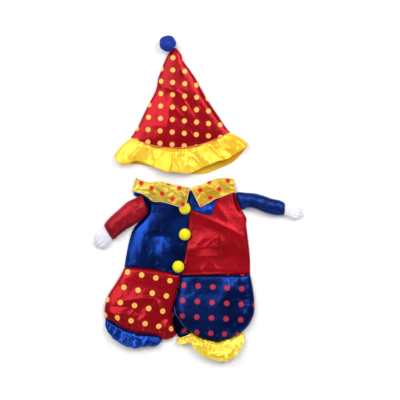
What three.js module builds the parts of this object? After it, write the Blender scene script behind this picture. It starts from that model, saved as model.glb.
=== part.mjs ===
/*
 * Clown costume for a small dog, laid flat on its back: a romper in red and blue satin with a
 * dotted collar, stuffed sleeves and gloves, puffed legs and gathered cuffs, and beside it a
 * pointed hat with a frilled brim and a pompom.
 *
 * Millimetres. +X to the right, +Y from the romper towards the hat, +Z up from the table.
 * The origin is on the table, under the middle of the whole set.
 */
import * as THREE from "three";

const { clamp, lerp, smoothstep } = THREE.MathUtils;

// ---------------------------------------------------------------- cloth and clearances
const SATIN = 1.4; // wall of the satin pieces
const FRILL = 1.2; // wall of the gathered frills
const SEAM_GAP = 0.35; // air between pieces that are sewn together
const LAYER_GAP = 0.4; // air between pieces that lie on each other

// ---------------------------------------------------------------- romper body
const BODY_CROWN = 5.6; // how far the front stands above its flat side seams
const BODY_CROWN_POWER = 2.6; // 2 is a round crown, more is a flatter one
const FRONT_ROWS = 17;
const FRONT_COLUMNS = 12;
const BACK_ROWS = 12;
const BACK_COLUMNS = 5;

// Each row is a line across the panel, from its outer edge to the centre seam. bow lifts its middle.
const BLUE_HALF = [
  { section: "neck", outerX: -97, outerY: 23, seamX: -11.8, seamY: 13.6, bow: 0 },
  { section: "shoulder", outerX: -100, outerY: 11, seamX: -12.2, seamY: 4.5, bow: 0 },
  { section: "armhole top", outerX: -85, outerY: 3, seamX: -12.5, seamY: -5, bow: 0 },
  { section: "armhole depth", outerX: -79.3, outerY: -9.5, seamX: -12.9, seamY: -16, bow: 0 },
  { section: "armhole base", outerX: -79.5, outerY: -22, seamX: -13.3, seamY: -28.5, bow: 0 },
  { section: "underarm", outerX: -89.8, outerY: -35.2, seamX: -14, seamY: -41.5, bow: 0 },
  { section: "rib", outerX: -101.5, outerY: -48.5, seamX: -14.9, seamY: -54.5, bow: 0 },
  { section: "belly", outerX: -106.8, outerY: -66, seamX: -16.8, seamY: -71, bow: 0 },
  { section: "flank", outerX: -111.6, outerY: -87, seamX: -20.2, seamY: -94, bow: 1 },
  { section: "waist", outerX: -117, outerY: -108.6, seamX: -26.6, seamY: -120.3, bow: 3 },
];
const RED_HALF = [
  { section: "neck", outerX: 57.5, outerY: 23, seamX: -11.8, seamY: 13.6, bow: 0 },
  { section: "shoulder", outerX: 58.2, outerY: 11.5, seamX: -12.2, seamY: 4.5, bow: 0 },
  { section: "armhole top", outerX: 60, outerY: 2, seamX: -12.5, seamY: -5, bow: 0 },
  { section: "armhole depth", outerX: 63, outerY: -9, seamX: -12.9, seamY: -16, bow: 0 },
  { section: "armhole base", outerX: 68, outerY: -19, seamX: -13.3, seamY: -28.5, bow: 0 },
  { section: "underarm", outerX: 73, outerY: -29, seamX: -14, seamY: -41.5, bow: 0 },
  { section: "rib", outerX: 76, outerY: -47, seamX: -14.9, seamY: -54.5, bow: 0 },
  { section: "belly", outerX: 78.7, outerY: -70, seamX: -16.8, seamY: -71, bow: 0 },
  { section: "flank", outerX: 81.3, outerY: -94, seamX: -20.2, seamY: -94, bow: 0 },
  { section: "waist", outerX: 84, outerY: -119.6, seamX: -26.6, seamY: -120.3, bow: 0 },
];

// Ridges (height above 0) and troughs (below 0) across the fronts, each a soft line.
const FRONT_FOLDS = [
  { fold: "blue side sheen", x0: -88, y0: -36, x1: -97, y1: -100, height: 1.5, width: 8 },
  { fold: "blue channel", x0: -66, y0: -34, x1: -70, y1: -104, height: -1.0, width: 7 },
  { fold: "blue middle", x0: -44, y0: -20, x1: -46, y1: -98, height: 0.9, width: 10 },
  { fold: "blue pucker", x0: -80, y0: -92, x1: -66, y1: -108, height: 1.1, width: 4 },
  { fold: "blue hem pucker", x0: -50, y0: -92, x1: -44, y1: -110, height: 1.0, width: 4 },
  { fold: "red drape", x0: -10, y0: -22, x1: 46, y1: -54, height: 1.7, width: 5 },
  { fold: "red drape foot", x0: 4, y0: -40, x1: 70, y1: -84, height: -0.9, width: 6 },
  { fold: "red cross fold", x0: 10, y0: -74, x1: 40, y1: -46, height: 1.4, width: 4.5 },
  { fold: "red shoulder", x0: 24, y0: -10, x1: 72, y1: -42, height: 1.2, width: 7 },
  { fold: "red lower drape", x0: -12, y0: -84, x1: 70, y1: -92, height: 1.2, width: 7 },
  { fold: "red waist tuck", x0: 12, y0: -104, x1: 6, y1: -120, height: 1.2, width: 5 },
];

// ---------------------------------------------------------------- puffed legs
const LEG_ROWS = 12;
const LEG_TOP_COLUMNS = 23;
const LEG_UNDER_COLUMNS = 11;
const LEG_SIDE = 4.6; // height at which a leg's sides are widest
const TUBE_ROUNDNESS = 2.3; // power of a flattened tube's crown
const FLAT_SHARE = 0.55; // how far up its crown a tube's underside has become flat
const UNDER_FLAP_WIDTH = 0.1; // share of the width over which an under layer comes back in
const COLUMN_CROWDING = 0.55; // how much an upper layer's columns crowd to its sides
const WIDEST_SHARE = 0.45; // the most of its height at which a tube is widest
const PUFF_START = 0.45; // share of the way down a leg at which its hem puffs begin
const FOLD_END_SHARE = 0.35; // height of a fold at its ends, as a share of its middle

// Each row is a line round the leg, from its left edge to its right. sag drops the line's middle,
// rise is the leg's height there, and underX and underY take the under layer out past the left edge.
const RED_LEG = [
  { section: "waist", leftX: -116.8, leftY: -109.1, rightX: -27.4, rightY: -120.8, sag: -3, rise: 8.6 },
  { section: "hip", leftX: -123, leftY: -122, rightX: -30.4, rightY: -137, sag: 0, rise: 12.5 },
  { section: "thigh", leftX: -133, leftY: -138, rightX: -34.4, rightY: -154, sag: 0, rise: 15.5 },
  { section: "puff", leftX: -143, leftY: -154, rightX: -38.4, rightY: -169.5, sag: 1, rise: 17 },
  { section: "fullest", leftX: -148, leftY: -169.5, rightX: -41.3, rightY: -184, sag: 4, rise: 17.5 },
  { section: "lower puff", leftX: -149, leftY: -180, rightX: -39.4, rightY: -197, sag: 8, rise: 17 },
  { section: "turn", leftX: -148.6, leftY: -187, rightX: -36.4, rightY: -206, sag: 11.5, rise: 13.5 },
  { section: "hem", leftX: -147.4, leftY: -190, rightX: -34.8, rightY: -210.5, sag: 13.5, rise: 8 },
];
const BLUE_LEG = [
  { section: "waist", leftX: -26.7, leftY: -120.9, rightX: 83.8, rightY: -120.1, sag: 0, rise: 8.6 },
  { section: "hip", leftX: -29.8, leftY: -138, rightX: 87.6, rightY: -136, sag: 0, rise: 13 },
  { section: "thigh", leftX: -33.8, leftY: -155, rightX: 90.6, rightY: -153, sag: 0, rise: 16 },
  {
    section: "puff", leftX: -37.6, leftY: -171, rightX: 92, rightY: -171, sag: 0, rise: 18,
    underX: 0.2, underY: 0,
  },
  {
    section: "fullest", leftX: -36, leftY: -182.5, rightX: 91, rightY: -184, sag: 1.5, rise: 18,
    underX: 3.4, underY: 3,
  },
  {
    section: "lower puff", leftX: -29, leftY: -193, rightX: 85, rightY: -196.5, sag: 7, rise: 17,
    underX: 8.4, underY: 8,
  },
  {
    section: "turn", leftX: -22.5, leftY: -203, rightX: 77.5, rightY: -207, sag: 12.5, rise: 13.5,
    underX: 12.4, underY: 10,
  },
  {
    section: "hem", leftX: -17, leftY: -209.8, rightX: 71.5, rightY: -212, sag: 15.3, rise: 8,
    underX: 13.6, underY: 10,
  },
];

// Puffs between the gathers of a hem: at is the share of its width, reach is out past the hem line,
// lift is upwards, and width is a share of the hem.
const RED_PUFFS = [
  { at: 0.1, reach: -1.2, lift: 1.2, width: 0.05 },
  { at: 0.26, reach: 0.4, lift: 1.8, width: 0.06 },
  { at: 0.43, reach: 1, lift: 1.4, width: 0.06 },
  { at: 0.6, reach: -0.6, lift: 1.6, width: 0.05 },
  { at: 0.86, reach: 9.5, lift: 2.4, width: 0.1 },
];
const BLUE_PUFFS = [
  { at: 0.16, reach: -1.4, lift: 1.6, width: 0.06 },
  { at: 0.36, reach: -0.6, lift: 1.2, width: 0.06 },
  { at: 0.55, reach: 1.2, lift: 1.8, width: 0.07 },
  { at: 0.76, reach: 0.6, lift: 1.3, width: 0.06 },
  { at: 0.92, reach: 0, lift: 1.4, width: 0.05 },
];
const LEG_FOLDS = [
  { fold: "red hip drape", x0: -112, y0: -132, x1: -62, y1: -140, height: -1.2, width: 7 },
  { fold: "red knee ridge", x0: -140, y0: -160, x1: -70, y1: -170, height: 1.4, width: 7 },
  { fold: "red knee trough", x0: -128, y0: -182, x1: -52, y1: -186, height: -1.6, width: 6 },
  { fold: "red inner drape", x0: -78, y0: -150, x1: -48, y1: -200, height: 1.2, width: 6 },
  { fold: "blue waist gather", x0: 54, y0: -124, x1: 60, y1: -142, height: 1.3, width: 4 },
  { fold: "blue side gather", x0: 68, y0: -124, x1: 76, y1: -144, height: 1.3, width: 4 },
  { fold: "blue hip drape", x0: 6, y0: -126, x1: 62, y1: -160, height: 1.3, width: 9 },
  { fold: "blue knee trough", x0: -12, y0: -178, x1: 66, y1: -184, height: -1.2, width: 8 },
  { fold: "blue inner fold", x0: -34, y0: -176, x1: -8, y1: -206, height: 1.2, width: 5 },
];

// ---------------------------------------------------------------- gathered frills
const FRILL_ROWS = 4;
const FRILL_UNDER_COLUMNS = 12;
const FRILL_STEPS_PER_WAVE = 6;
const FRILL_SIDE = 3.2;
const FRILL_GAP = 0.9; // from a hem's line to its frill's seam
const SEAM_POINTS = 12;
const FRILL_ROUNDNESS = 6; // power of a frill's crown
const SEAM_WAVE_SHARE = 0.35; // height of a wave at the seam, as a share of its edge
const SCALLOP_LEAD = 0.8; // radians by which the edge's scallops lead its waves

// A frill runs from its seam to its free edge. Both are lines of a few points, left to right, for
// the upper layer and for the one under it.
const BLUE_CUFF = {
  waves: 10,
  waveHeight: 1.5,
  scallop: 0.8,
  seamRise: 7.9,
  edgeRise: 10,
  seamTo: 0.82,
  edge: [
    [-147.6, -200], [-144, -210.5], [-135, -222.5], [-124, -231.8], [-111, -238.6], [-101, -240],
    [-84, -237.6], [-66, -236.6], [-57.5, -231],
  ],
  underEdge: [
    [-147.6, -199.6], [-142, -211.5], [-132, -223.5], [-120, -231.5], [-105, -236], [-84, -235.6],
    [-66, -234.6], [-57.5, -230.4],
  ],
};
const YELLOW_CUFF = {
  waves: 11,
  waveHeight: 1.6,
  scallop: 1.1,
  seamRise: 7.9,
  edgeRise: 11,
  seamStart: [[-32, -222.8], [-23.5, -222.4]],
  seamFrom: 0.12,
  edge: [
    [-34, -227.6], [-24, -234], [-12, -231.6], [-6, -239.5], [3, -247.5], [16, -255.4],
    [29, -259.6], [41, -260.6], [54, -256.8], [63, -247.6], [70, -235], [75.5, -221],
  ],
  underEdge: [
    [-34, -227.2], [-24, -233], [-11, -231], [-2, -239], [12, -250], [30, -256],
    [48, -254.6], [60, -246], [68, -234], [75.5, -220.6],
  ],
};
const HAT_FRILL = {
  waves: 8,
  waveHeight: 2.1,
  scallop: 1.4,
  seamRise: 10.5,
  edgeRise: 11.5,
  edge: [
    [-132.4, 70], [-124, 58.4], [-113, 55.4], [-98, 60], [-82, 54], [-58, 46.4],
    [-34, 41.4], [-17, 39.4], [0, 45.4], [18, 55.4], [34, 63.4], [49, 66],
    [62, 76], [79, 88],
  ],
  underEdge: [
    [-132.4, 70], [-112, 57], [-84, 53], [-56, 45.6], [-30, 41.8], [-10, 40.4],
    [9, 42.4], [34, 52], [52, 59.4], [64, 71], [79, 87.6],
  ],
};

// ---------------------------------------------------------------- hat
const HAT_ROWS = 13;
const HAT_TOP_COLUMNS = 21;
const HAT_UNDER_COLUMNS = 9;
const HAT_SIDE = 4;
const HAT_CONE = [
  { section: "base", leftX: -106, leftY: 98.6, rightX: 50.6, rightY: 107.2, sag: 20.5, rise: 13.5 },
  { section: "brow", leftX: -94.6, leftY: 117, rightX: 42.6, rightY: 118, sag: 13, rise: 14.5 },
  { section: "lower third", leftX: -85.8, leftY: 136, rightX: 31, rightY: 136, sag: 9, rise: 14.5 },
  { section: "half", leftX: -76.2, leftY: 155, rightX: 18, rightY: 155, sag: 6, rise: 14 },
  { section: "upper half", leftX: -66.4, leftY: 174.5, rightX: 6.6, rightY: 174.5, sag: 4, rise: 13 },
  { section: "left notch", leftX: -61.8, leftY: 193.5, rightX: -4.4, rightY: 193.5, sag: 3, rise: 12 },
  { section: "upper third", leftX: -56.6, leftY: 206.5, rightX: -14.2, rightY: 206.5, sag: 2, rise: 11 },
  { section: "right notch", leftX: -52, leftY: 219, rightX: -24.6, rightY: 219, sag: 1, rise: 10 },
  { section: "neck of the tip", leftX: -47, leftY: 231, rightX: -30.6, rightY: 231, sag: 0, rise: 8.4 },
  { section: "tip", leftX: -40.8, leftY: 240.4, rightX: -36, rightY: 240.4, sag: 0, rise: 6.4 },
];
const HAT_FOLDS = [
  { fold: "upper drape", x0: -56, y0: 178, x1: -22, y1: 166, height: 1.3, width: 6 },
  { fold: "middle pleat", x0: -40, y0: 172, x1: 2, y1: 108, height: 1.6, width: 5 },
  { fold: "lower pleat", x0: -52, y0: 150, x1: -12, y1: 88, height: -1.4, width: 5 },
  { fold: "right sheen", x0: 2, y0: 160, x1: 36, y1: 112, height: 1.3, width: 7 },
  { fold: "left sheen", x0: -70, y0: 150, x1: -92, y1: 112, height: 1.2, width: 8 },
  { fold: "brow trough", x0: -88, y0: 106, x1: -30, y1: 94, height: -1.0, width: 6 },
];

// ---------------------------------------------------------------- collar
const COLLAR_ROWS = 7;
const COLLAR_COLUMNS = 15;
const COLLAR_WALL = 1.3;
const COLLAR_BUTTON_LIFT = 15.4; // how far the first button lifts the point that lies over it
const COLLAR_LIFT_REACH = 14;
// Each row runs down a collar half, from the neck edge to the free edge.
const COLLAR_LEFT = [
  { section: "end", topX: -98.5, topY: 33.4, edgeX: -103.4, edgeY: 12.6 },
  { section: "shoulder", topX: -87.5, topY: 28, edgeX: -91, edgeY: 9.6 },
  { section: "scoop", topX: -75, topY: 25, edgeX: -79.5, edgeY: 3 },
  { section: "fold", topX: -66, topY: 28, edgeX: -71, edgeY: -3.4 },
  { section: "chest", topX: -56, topY: 27.2, edgeX: -58, edgeY: -4.2 },
  { section: "inner chest", topX: -42, topY: 22.6, edgeX: -44, edgeY: -7.6 },
  { section: "before the point", topX: -27, topY: 19.4, edgeX: -31, edgeY: -11.6 },
  { section: "point", topX: -12.8, topY: 17, edgeX: -20.4, edgeY: -15 },
];
const COLLAR_RIGHT = [
  { section: "point", topX: -10.4, topY: 17, edgeX: 4.4, edgeY: -12.6 },
  { section: "after the point", topX: -2, topY: 20.6, edgeX: 11.6, edgeY: -9 },
  { section: "inner chest", topX: 8, topY: 23, edgeX: 20, edgeY: -4.6 },
  { section: "chest", topX: 17, topY: 27.8, edgeX: 28.4, edgeY: 0.6 },
  { section: "fold", topX: 30, topY: 32, edgeX: 39.6, edgeY: 4.2 },
  { section: "shoulder", topX: 43, topY: 33.4, edgeX: 49, edgeY: 8.2 },
  { section: "end", topX: 57, topY: 32, edgeX: 61, edgeY: 12 },
];
const COLLAR_FOLDS = [
  { fold: "left scoop", x0: -78, y0: 24, x1: -72, y1: 2, height: 0.9, width: 5 },
  { fold: "left chest", x0: -60, y0: 24, x1: -50, y1: 0, height: 0.8, width: 5 },
  { fold: "left point", x0: -32, y0: 18, x1: -22, y1: -6, height: 0.9, width: 5 },
  { fold: "right point", x0: 0, y0: 18, x1: 8, y1: -4, height: 0.8, width: 5 },
  { fold: "right chest", x0: 22, y0: 26, x1: 34, y1: 8, height: 0.9, width: 6 },
];
// The petal's rows run down it, from under the collar to its round tip.
const PETAL = [
  { section: "root", topX: -10.6, topY: 12, edgeX: 36, edgeY: 6 },
  { section: "shoulder", topX: -10, topY: 0, edgeX: 30, edgeY: -3 },
  { section: "waist", topX: -9, topY: -11, edgeX: 26.4, edgeY: -14 },
  { section: "side", topX: -5, topY: -19, edgeX: 24, edgeY: -21.6 },
  { section: "tip", topX: 5, topY: -24.4, edgeX: 20.6, edgeY: -25.8 },
];
const PETAL_WALL = 1.1;
const PETAL_ROWS = 7;
const PETAL_COLUMNS = 8;

// ---------------------------------------------------------------- sleeves and gloves
const STUFFED_ROWS = 12;
const STUFFED_TOP_COLUMNS = 11;
const STUFFED_UNDER_COLUMNS = 5;
const STUFFED_ROUNDNESS = 2.1;
const STUFFED_SIDE = 8;
// Each row is a line across the sleeve, from its upper edge to its lower edge.
const RED_SLEEVE = [
  { section: "head", leftX: -86.6, leftY: 0, rightX: -80.6, rightY: -16, sag: 0, rise: 9 },
  { section: "root", leftX: -89.4, leftY: 4.6, rightX: -80, rightY: -23, sag: 0, rise: 16 },
  { section: "armpit", leftX: -101, leftY: 0, rightX: -90.4, rightY: -34, sag: 0, rise: 20 },
  { section: "upper arm", leftX: -112, leftY: -6, rightX: -102, rightY: -44.4, sag: 0, rise: 21 },
  { section: "elbow", leftX: -124, leftY: -17.4, rightX: -113.6, rightY: -51, sag: 0, rise: 20.5 },
  { section: "forearm", leftX: -134, leftY: -26.4, rightX: -124, rightY: -58.6, sag: 0, rise: 19.5 },
  { section: "wrist", leftX: -143, leftY: -34, rightX: -131, rightY: -64, sag: 0, rise: 17.5 },
  { section: "cuff", leftX: -148.8, leftY: -41.4, rightX: -134.4, rightY: -65.4, sag: 0, rise: 14 },
];
const BLUE_SLEEVE = [
  { section: "head", leftX: 60.4, leftY: 7, rightX: 64.4, rightY: -8, sag: 0, rise: 9 },
  { section: "root", leftX: 64, leftY: 10.2, rightX: 71, rightY: -18.4, sag: 0, rise: 15.5 },
  { section: "armpit", leftX: 79, leftY: 8.8, rightX: 81.4, rightY: -15.8, sag: 0, rise: 17.5 },
  { section: "upper arm", leftX: 92, leftY: 7.4, rightX: 93.4, rightY: -18.4, sag: 0, rise: 18.5 },
  { section: "elbow", leftX: 106, leftY: 3.8, rightX: 105.4, rightY: -23.6, sag: 0, rise: 18.5 },
  { section: "forearm", leftX: 119, leftY: -1, rightX: 116.6, rightY: -27, sag: 0, rise: 17.5 },
  { section: "wrist", leftX: 130.4, leftY: -3.6, rightX: 128.6, rightY: -28.8, sag: 0, rise: 16.5 },
  { section: "cuff", leftX: 138, leftY: -7.6, rightX: 137, rightY: -27.2, sag: 0, rise: 14 },
];
const LEFT_GLOVE = [
  { section: "wrist", leftX: -148.6, leftY: -43.2, rightX: -135.9, rightY: -64.4, sag: 0, rise: 11 },
  { section: "heel", leftX: -154.6, leftY: -46, rightX: -140.6, rightY: -71.6, sag: 0, rise: 13 },
  { section: "palm", leftX: -161, leftY: -52, rightX: -146, rightY: -78, sag: 0, rise: 13 },
  { section: "knuckles", leftX: -165, leftY: -60.4, rightX: -152.6, rightY: -79.4, sag: 0, rise: 11.5 },
  { section: "fingertips", leftX: -166.3, leftY: -67.6, rightX: -159, rightY: -76.4, sag: 0, rise: 7 },
];
const RIGHT_GLOVE = [
  { section: "wrist", leftX: 138.6, leftY: -9, rightX: 137.7, rightY: -26.4, sag: 0, rise: 11 },
  { section: "heel", leftX: 145, leftY: -8.8, rightX: 144.6, rightY: -29, sag: 0, rise: 13 },
  { section: "palm", leftX: 153, leftY: -10.4, rightX: 152, rightY: -32.4, sag: 0, rise: 13 },
  { section: "knuckles", leftX: 161.4, leftY: -16, rightX: 159, rightY: -32.8, sag: 0, rise: 11 },
  { section: "fingertips", leftX: 166.3, leftY: -22.6, rightX: 164, rightY: -29.4, sag: 0, rise: 7 },
];
const GLOVE_ROWS = 9;
const SLEEVE_FOLDS = [
  { fold: "red armpit", x0: -104, y0: -8, x1: -92, y1: -30, height: -1.2, width: 3.5 },
  { fold: "red elbow", x0: -122, y0: -20, x1: -112, y1: -46, height: 1.0, width: 4 },
  { fold: "blue armpit", x0: 80, y0: 6, x1: 83, y1: -14, height: -1.6, width: 3.5 },
  { fold: "blue elbow", x0: 105, y0: 2, x1: 106, y1: -22, height: -1.0, width: 3.5 },
];
const FINGER_FOLDS = [
  { fold: "left outer", x0: -158, y0: -58, x1: -168, y1: -68, height: -1.4, width: 1.6 },
  { fold: "left middle", x0: -153, y0: -62, x1: -164, y1: -73, height: -1.4, width: 1.6 },
  { fold: "left inner", x0: -149, y0: -67, x1: -159, y1: -78, height: -1.4, width: 1.6 },
  { fold: "right upper", x0: 152, y0: -15, x1: 166, y1: -20, height: -1.4, width: 1.6 },
  { fold: "right middle", x0: 151, y0: -20, x1: 167, y1: -25, height: -1.4, width: 1.6 },
  { fold: "right lower", x0: 150, y0: -25, x1: 164, y1: -30, height: -1.4, width: 1.6 },
];

// ---------------------------------------------------------------- pompoms
const BUTTON_RADIUS = 10;
const BUTTON_SHAPE = { top: 0.85, seat: 0.5 }; // heights of its two halves, as shares of the radius
const ROUND_SHAPE = { top: 1, seat: 1 };
const BUTTONS = [
  { name: "button_1", x: -20.4, y: -15.4 },
  { name: "button_2", x: -20.5, y: -56.8 },
  { name: "button_3", x: -31, y: -108 },
];
const BUTTON_LOCKS = { around: 8, bands: 5 };
const HAT_POMPOM = { x: -48.8, y: 248.7, radius: 12.6 };
const HAT_LOCKS = { around: 10, bands: 8 };
const LOCK_ROOT = 0.84; // the core's radius, as a share of the pompom's
const LOCK_TOP = 0.62; // a lock's width at its top, as a share of its root
const LOCK_CROWN = 1.02; // how far the middle of a lock stands out past its rim
const LOCK_UNEVEN = 0.05;
const FLOOR_CLEARANCE = 0.3;

// ---------------------------------------------------------------- colours
const CLOTH = { roughness: 0.42, metalness: 0 };
const WOOL = { roughness: 0.95, metalness: 0 };
const RED = 0xb8141f;
const BLUE = 0x122f80;
const YELLOW = 0xf6cf1f;
const WHITE = 0xe9e9ef;
const POMPOM_BLUE = 0x1c3fa6;

// ================================================================ tables and curves

/** The value of a column, a fraction of the way down a table, smoothed through its rows. */
function along(table, column, fraction) {
  const last = table.length - 1;
  const place = clamp(fraction, 0, 1) * last;
  const row = Math.min(Math.floor(place), last - 1);
  const t = place - row;
  const at = (index) => table[clamp(index, 0, last)][column] ?? 0;
  const before = (at(row + 1) - at(row - 1)) / 2;
  const after = (at(row + 2) - at(row)) / 2;
  const t2 = t * t;
  const t3 = t2 * t;
  return (
    at(row) * (2 * t3 - 3 * t2 + 1) +
    before * (t3 - 2 * t2 + t) +
    at(row + 1) * (3 * t2 - 2 * t3) +
    after * (t3 - t2)
  );
}

/** A smooth line through points [x, y], as a function of the share of its length. */
function lineThrough(points) {
  const curve = new THREE.CatmullRomCurve3(
    points.map(([x, y]) => new THREE.Vector3(x, y, 0)),
    false,
    "centripetal",
  );
  return (share) => curve.getPointAt(clamp(share, 0, 1));
}

/** The x of a half's outer edge at a height y down the body. */
function outerEdge(half, y) {
  for (let row = 1; row < half.length; row += 1) {
    const above = half[row - 1];
    const below = half[row];
    if (y >= below.outerY) {
      const t = clamp((above.outerY - y) / (above.outerY - below.outerY), 0, 1);
      return lerp(above.outerX, below.outerX, t);
    }
  }
  return half[half.length - 1].outerX;
}

/** A soft bump of height 1 that fades within about two widths. */
function bell(offset) {
  return Math.exp(-(offset ** 2));
}

/** The sum of the folds of a table at a point: soft ridges and troughs along short lines. */
function foldHeight(folds, x, y) {
  let total = 0;
  for (const fold of folds) {
    const runX = fold.x1 - fold.x0;
    const runY = fold.y1 - fold.y0;
    const share = ((x - fold.x0) * runX + (y - fold.y0) * runY) / (runX * runX + runY * runY);
    const nearest = clamp(share, 0, 1);
    const away = Math.hypot(x - fold.x0 - nearest * runX, y - fold.y0 - nearest * runY);
    const taper = lerp(FOLD_END_SHARE, 1, Math.sin(Math.PI * nearest));
    total += fold.height * taper * bell(away / fold.width);
  }
  return total;
}

// ================================================================ closed solids

/** A closed mesh from points and triangles, turned so that its faces point out. */
function closedGeometry(points, triangles) {
  const position = new Float32Array(points.flatMap((point) => [point.x, point.y, point.z]));
  let volume = 0;
  for (let i = 0; i < triangles.length; i += 3) {
    const [a, b, c] = [points[triangles[i]], points[triangles[i + 1]], points[triangles[i + 2]]];
    volume += a.dot(new THREE.Vector3().crossVectors(b, c));
  }
  if (volume < 0) triangles.reverse();
  const geometry = new THREE.BufferGeometry();
  geometry.setAttribute("position", new THREE.BufferAttribute(position, 3));
  geometry.setIndex(triangles);
  geometry.computeVertexNormals();
  return geometry;
}

/** Two triangles for each square of a grid, whose first point has the index start. */
function gridTriangles(rows, columns, wraps, start, reversed) {
  const triangles = [];
  const steps = wraps ? columns : columns - 1;
  for (let row = 0; row < rows - 1; row += 1) {
    for (let column = 0; column < steps; column += 1) {
      const next = (column + 1) % columns;
      const a = start + row * columns + column;
      const b = start + row * columns + next;
      const c = start + (row + 1) * columns + next;
      const d = start + (row + 1) * columns + column;
      triangles.push(...(reversed ? [a, c, b, a, d, c] : [a, b, c, a, c, d]));
    }
  }
  return triangles;
}

/** Two triangles between each pair of neighbours on two rims that match point by point. */
function rimTriangles(outer, inner) {
  const triangles = [];
  outer.forEach((a, index) => {
    const next = (index + 1) % outer.length;
    triangles.push(a, inner[index], inner[next], a, inner[next], outer[next]);
  });
  return triangles;
}

/** A flat piece of cloth: its upper points in rows, and the same points one wall lower. */
function sheetSolid(rows, wall) {
  const rowCount = rows.length;
  const columnCount = rows[0].length;
  const upper = rows.flat();
  const size = upper.length;
  const lower = upper.map((point) => new THREE.Vector3(point.x, point.y, point.z - wall));
  const rim = [];
  for (let column = 0; column < columnCount; column += 1) rim.push(column);
  for (let row = 1; row < rowCount; row += 1) rim.push(row * columnCount + columnCount - 1);
  for (let column = columnCount - 2; column >= 0; column -= 1) {
    rim.push((rowCount - 1) * columnCount + column);
  }
  for (let row = rowCount - 2; row > 0; row -= 1) rim.push(row * columnCount);
  const triangles = [
    ...gridTriangles(rowCount, columnCount, false, 0, false),
    ...gridTriangles(rowCount, columnCount, false, size, true),
    ...rimTriangles(rim, rim.map((index) => index + size)),
  ];
  return closedGeometry([...upper, ...lower], triangles);
}

/** The unit normal of a wrapped grid at each of its points, pointing away from the tube. */
function tubeNormals(rings) {
  const last = rings.length - 1;
  const count = rings[0].length;
  return rings.map((ring, row) =>
    ring.map((_, column) => {
      const across = new THREE.Vector3().subVectors(
        ring[(column + 1) % count],
        ring[(column + count - 1) % count],
      );
      const down = new THREE.Vector3().subVectors(
        rings[Math.min(row + 1, last)][column],
        rings[Math.max(row - 1, 0)][column],
      );
      return across.cross(down).normalize();
    }),
  );
}

/** A tube of cloth open at both ends, or closed at its far end where tip is true. */
function tubeSolid(rings, wall, tip = false) {
  const count = rings[0].length;
  const normals = tubeNormals(rings);
  const top = rings[1][Math.floor(count / 4)];
  const outwards = normals[1][Math.floor(count / 4)].z * (top.z > 1 ? 1 : -1) > 0 ? 1 : -1;
  const innerRings = rings.map((ring, row) =>
    ring.map((point, column) => {
      const inner = point.clone().addScaledVector(normals[row][column], -outwards * wall);
      inner.z = Math.max(inner.z, wall);
      return inner;
    }),
  );
  if (tip) innerRings.pop();
  const points = [...rings.flat(), ...innerRings.flat()];
  const innerStart = rings.length * count;
  const rimOf = (start) => Array.from({ length: count }, (_, index) => start + index);
  const triangles = [
    ...gridTriangles(rings.length, count, true, 0, false),
    ...gridTriangles(innerRings.length, count, true, innerStart, true),
    ...rimTriangles(rimOf(0), rimOf(innerStart)),
  ];
  const outerEnd = (rings.length - 1) * count;
  const innerEnd = innerStart + (innerRings.length - 1) * count;
  if (tip) {
    triangles.push(...endFan(points, rimOf(outerEnd), false));
    triangles.push(...endFan(points, rimOf(innerEnd), true));
  } else {
    triangles.push(...rimTriangles(rimOf(innerEnd), rimOf(outerEnd)));
  }
  return closedGeometry(points, triangles);
}

/** Triangles that close a rim to its middle, which is added to the points. */
function endFan(points, rim, reversed) {
  const middle = new THREE.Vector3();
  rim.forEach((index) => middle.add(points[index]));
  middle.divideScalar(rim.length);
  const centre = points.push(middle) - 1;
  return rim.flatMap((index, place) => {
    const next = rim[(place + 1) % rim.length];
    return reversed ? [centre, next, index] : [centre, index, next];
  });
}

/** A stuffed piece: rings closed at both ends, with nothing hollow in it. */
function stuffedSolid(rings) {
  const count = rings[0].length;
  const points = rings.flat();
  const rimOf = (start) => Array.from({ length: count }, (_, index) => start + index);
  const triangles = [
    ...gridTriangles(rings.length, count, true, 0, false),
    ...endFan(points, rimOf(0), true),
    ...endFan(points, rimOf((rings.length - 1) * count), false),
  ];
  return closedGeometry(points, triangles);
}

// ================================================================ sections of a flattened tube

/** Shares of the width of the upper half of a ring, left to right, closer at the sides. */
function topShares(columns) {
  return Array.from({ length: columns }, (_, index) => {
    const even = index / (columns - 1);
    return lerp(even, 0.5 - 0.5 * Math.cos(Math.PI * even), COLUMN_CROWDING);
  });
}

/** Shares of the width of the under half of a ring, right to left, without the two sides. */
function underShares(columns) {
  return Array.from(
    { length: columns },
    (_, index) => 0.5 + 0.5 * Math.cos((Math.PI * (index + 1)) / (columns + 1)),
  );
}

/** How much of its full crown a flattened tube has at a share of its width. */
function crownShare(share, power = TUBE_ROUNDNESS) {
  return Math.sqrt(Math.max(0, 1 - Math.abs(2 * share - 1) ** power));
}

/** The height of a tube's under half, flat on the table but for its rounded sides. */
function underHeight(share, side) {
  return side * Math.max(0, 1 - crownShare(share) / FLAT_SHARE);
}

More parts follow.
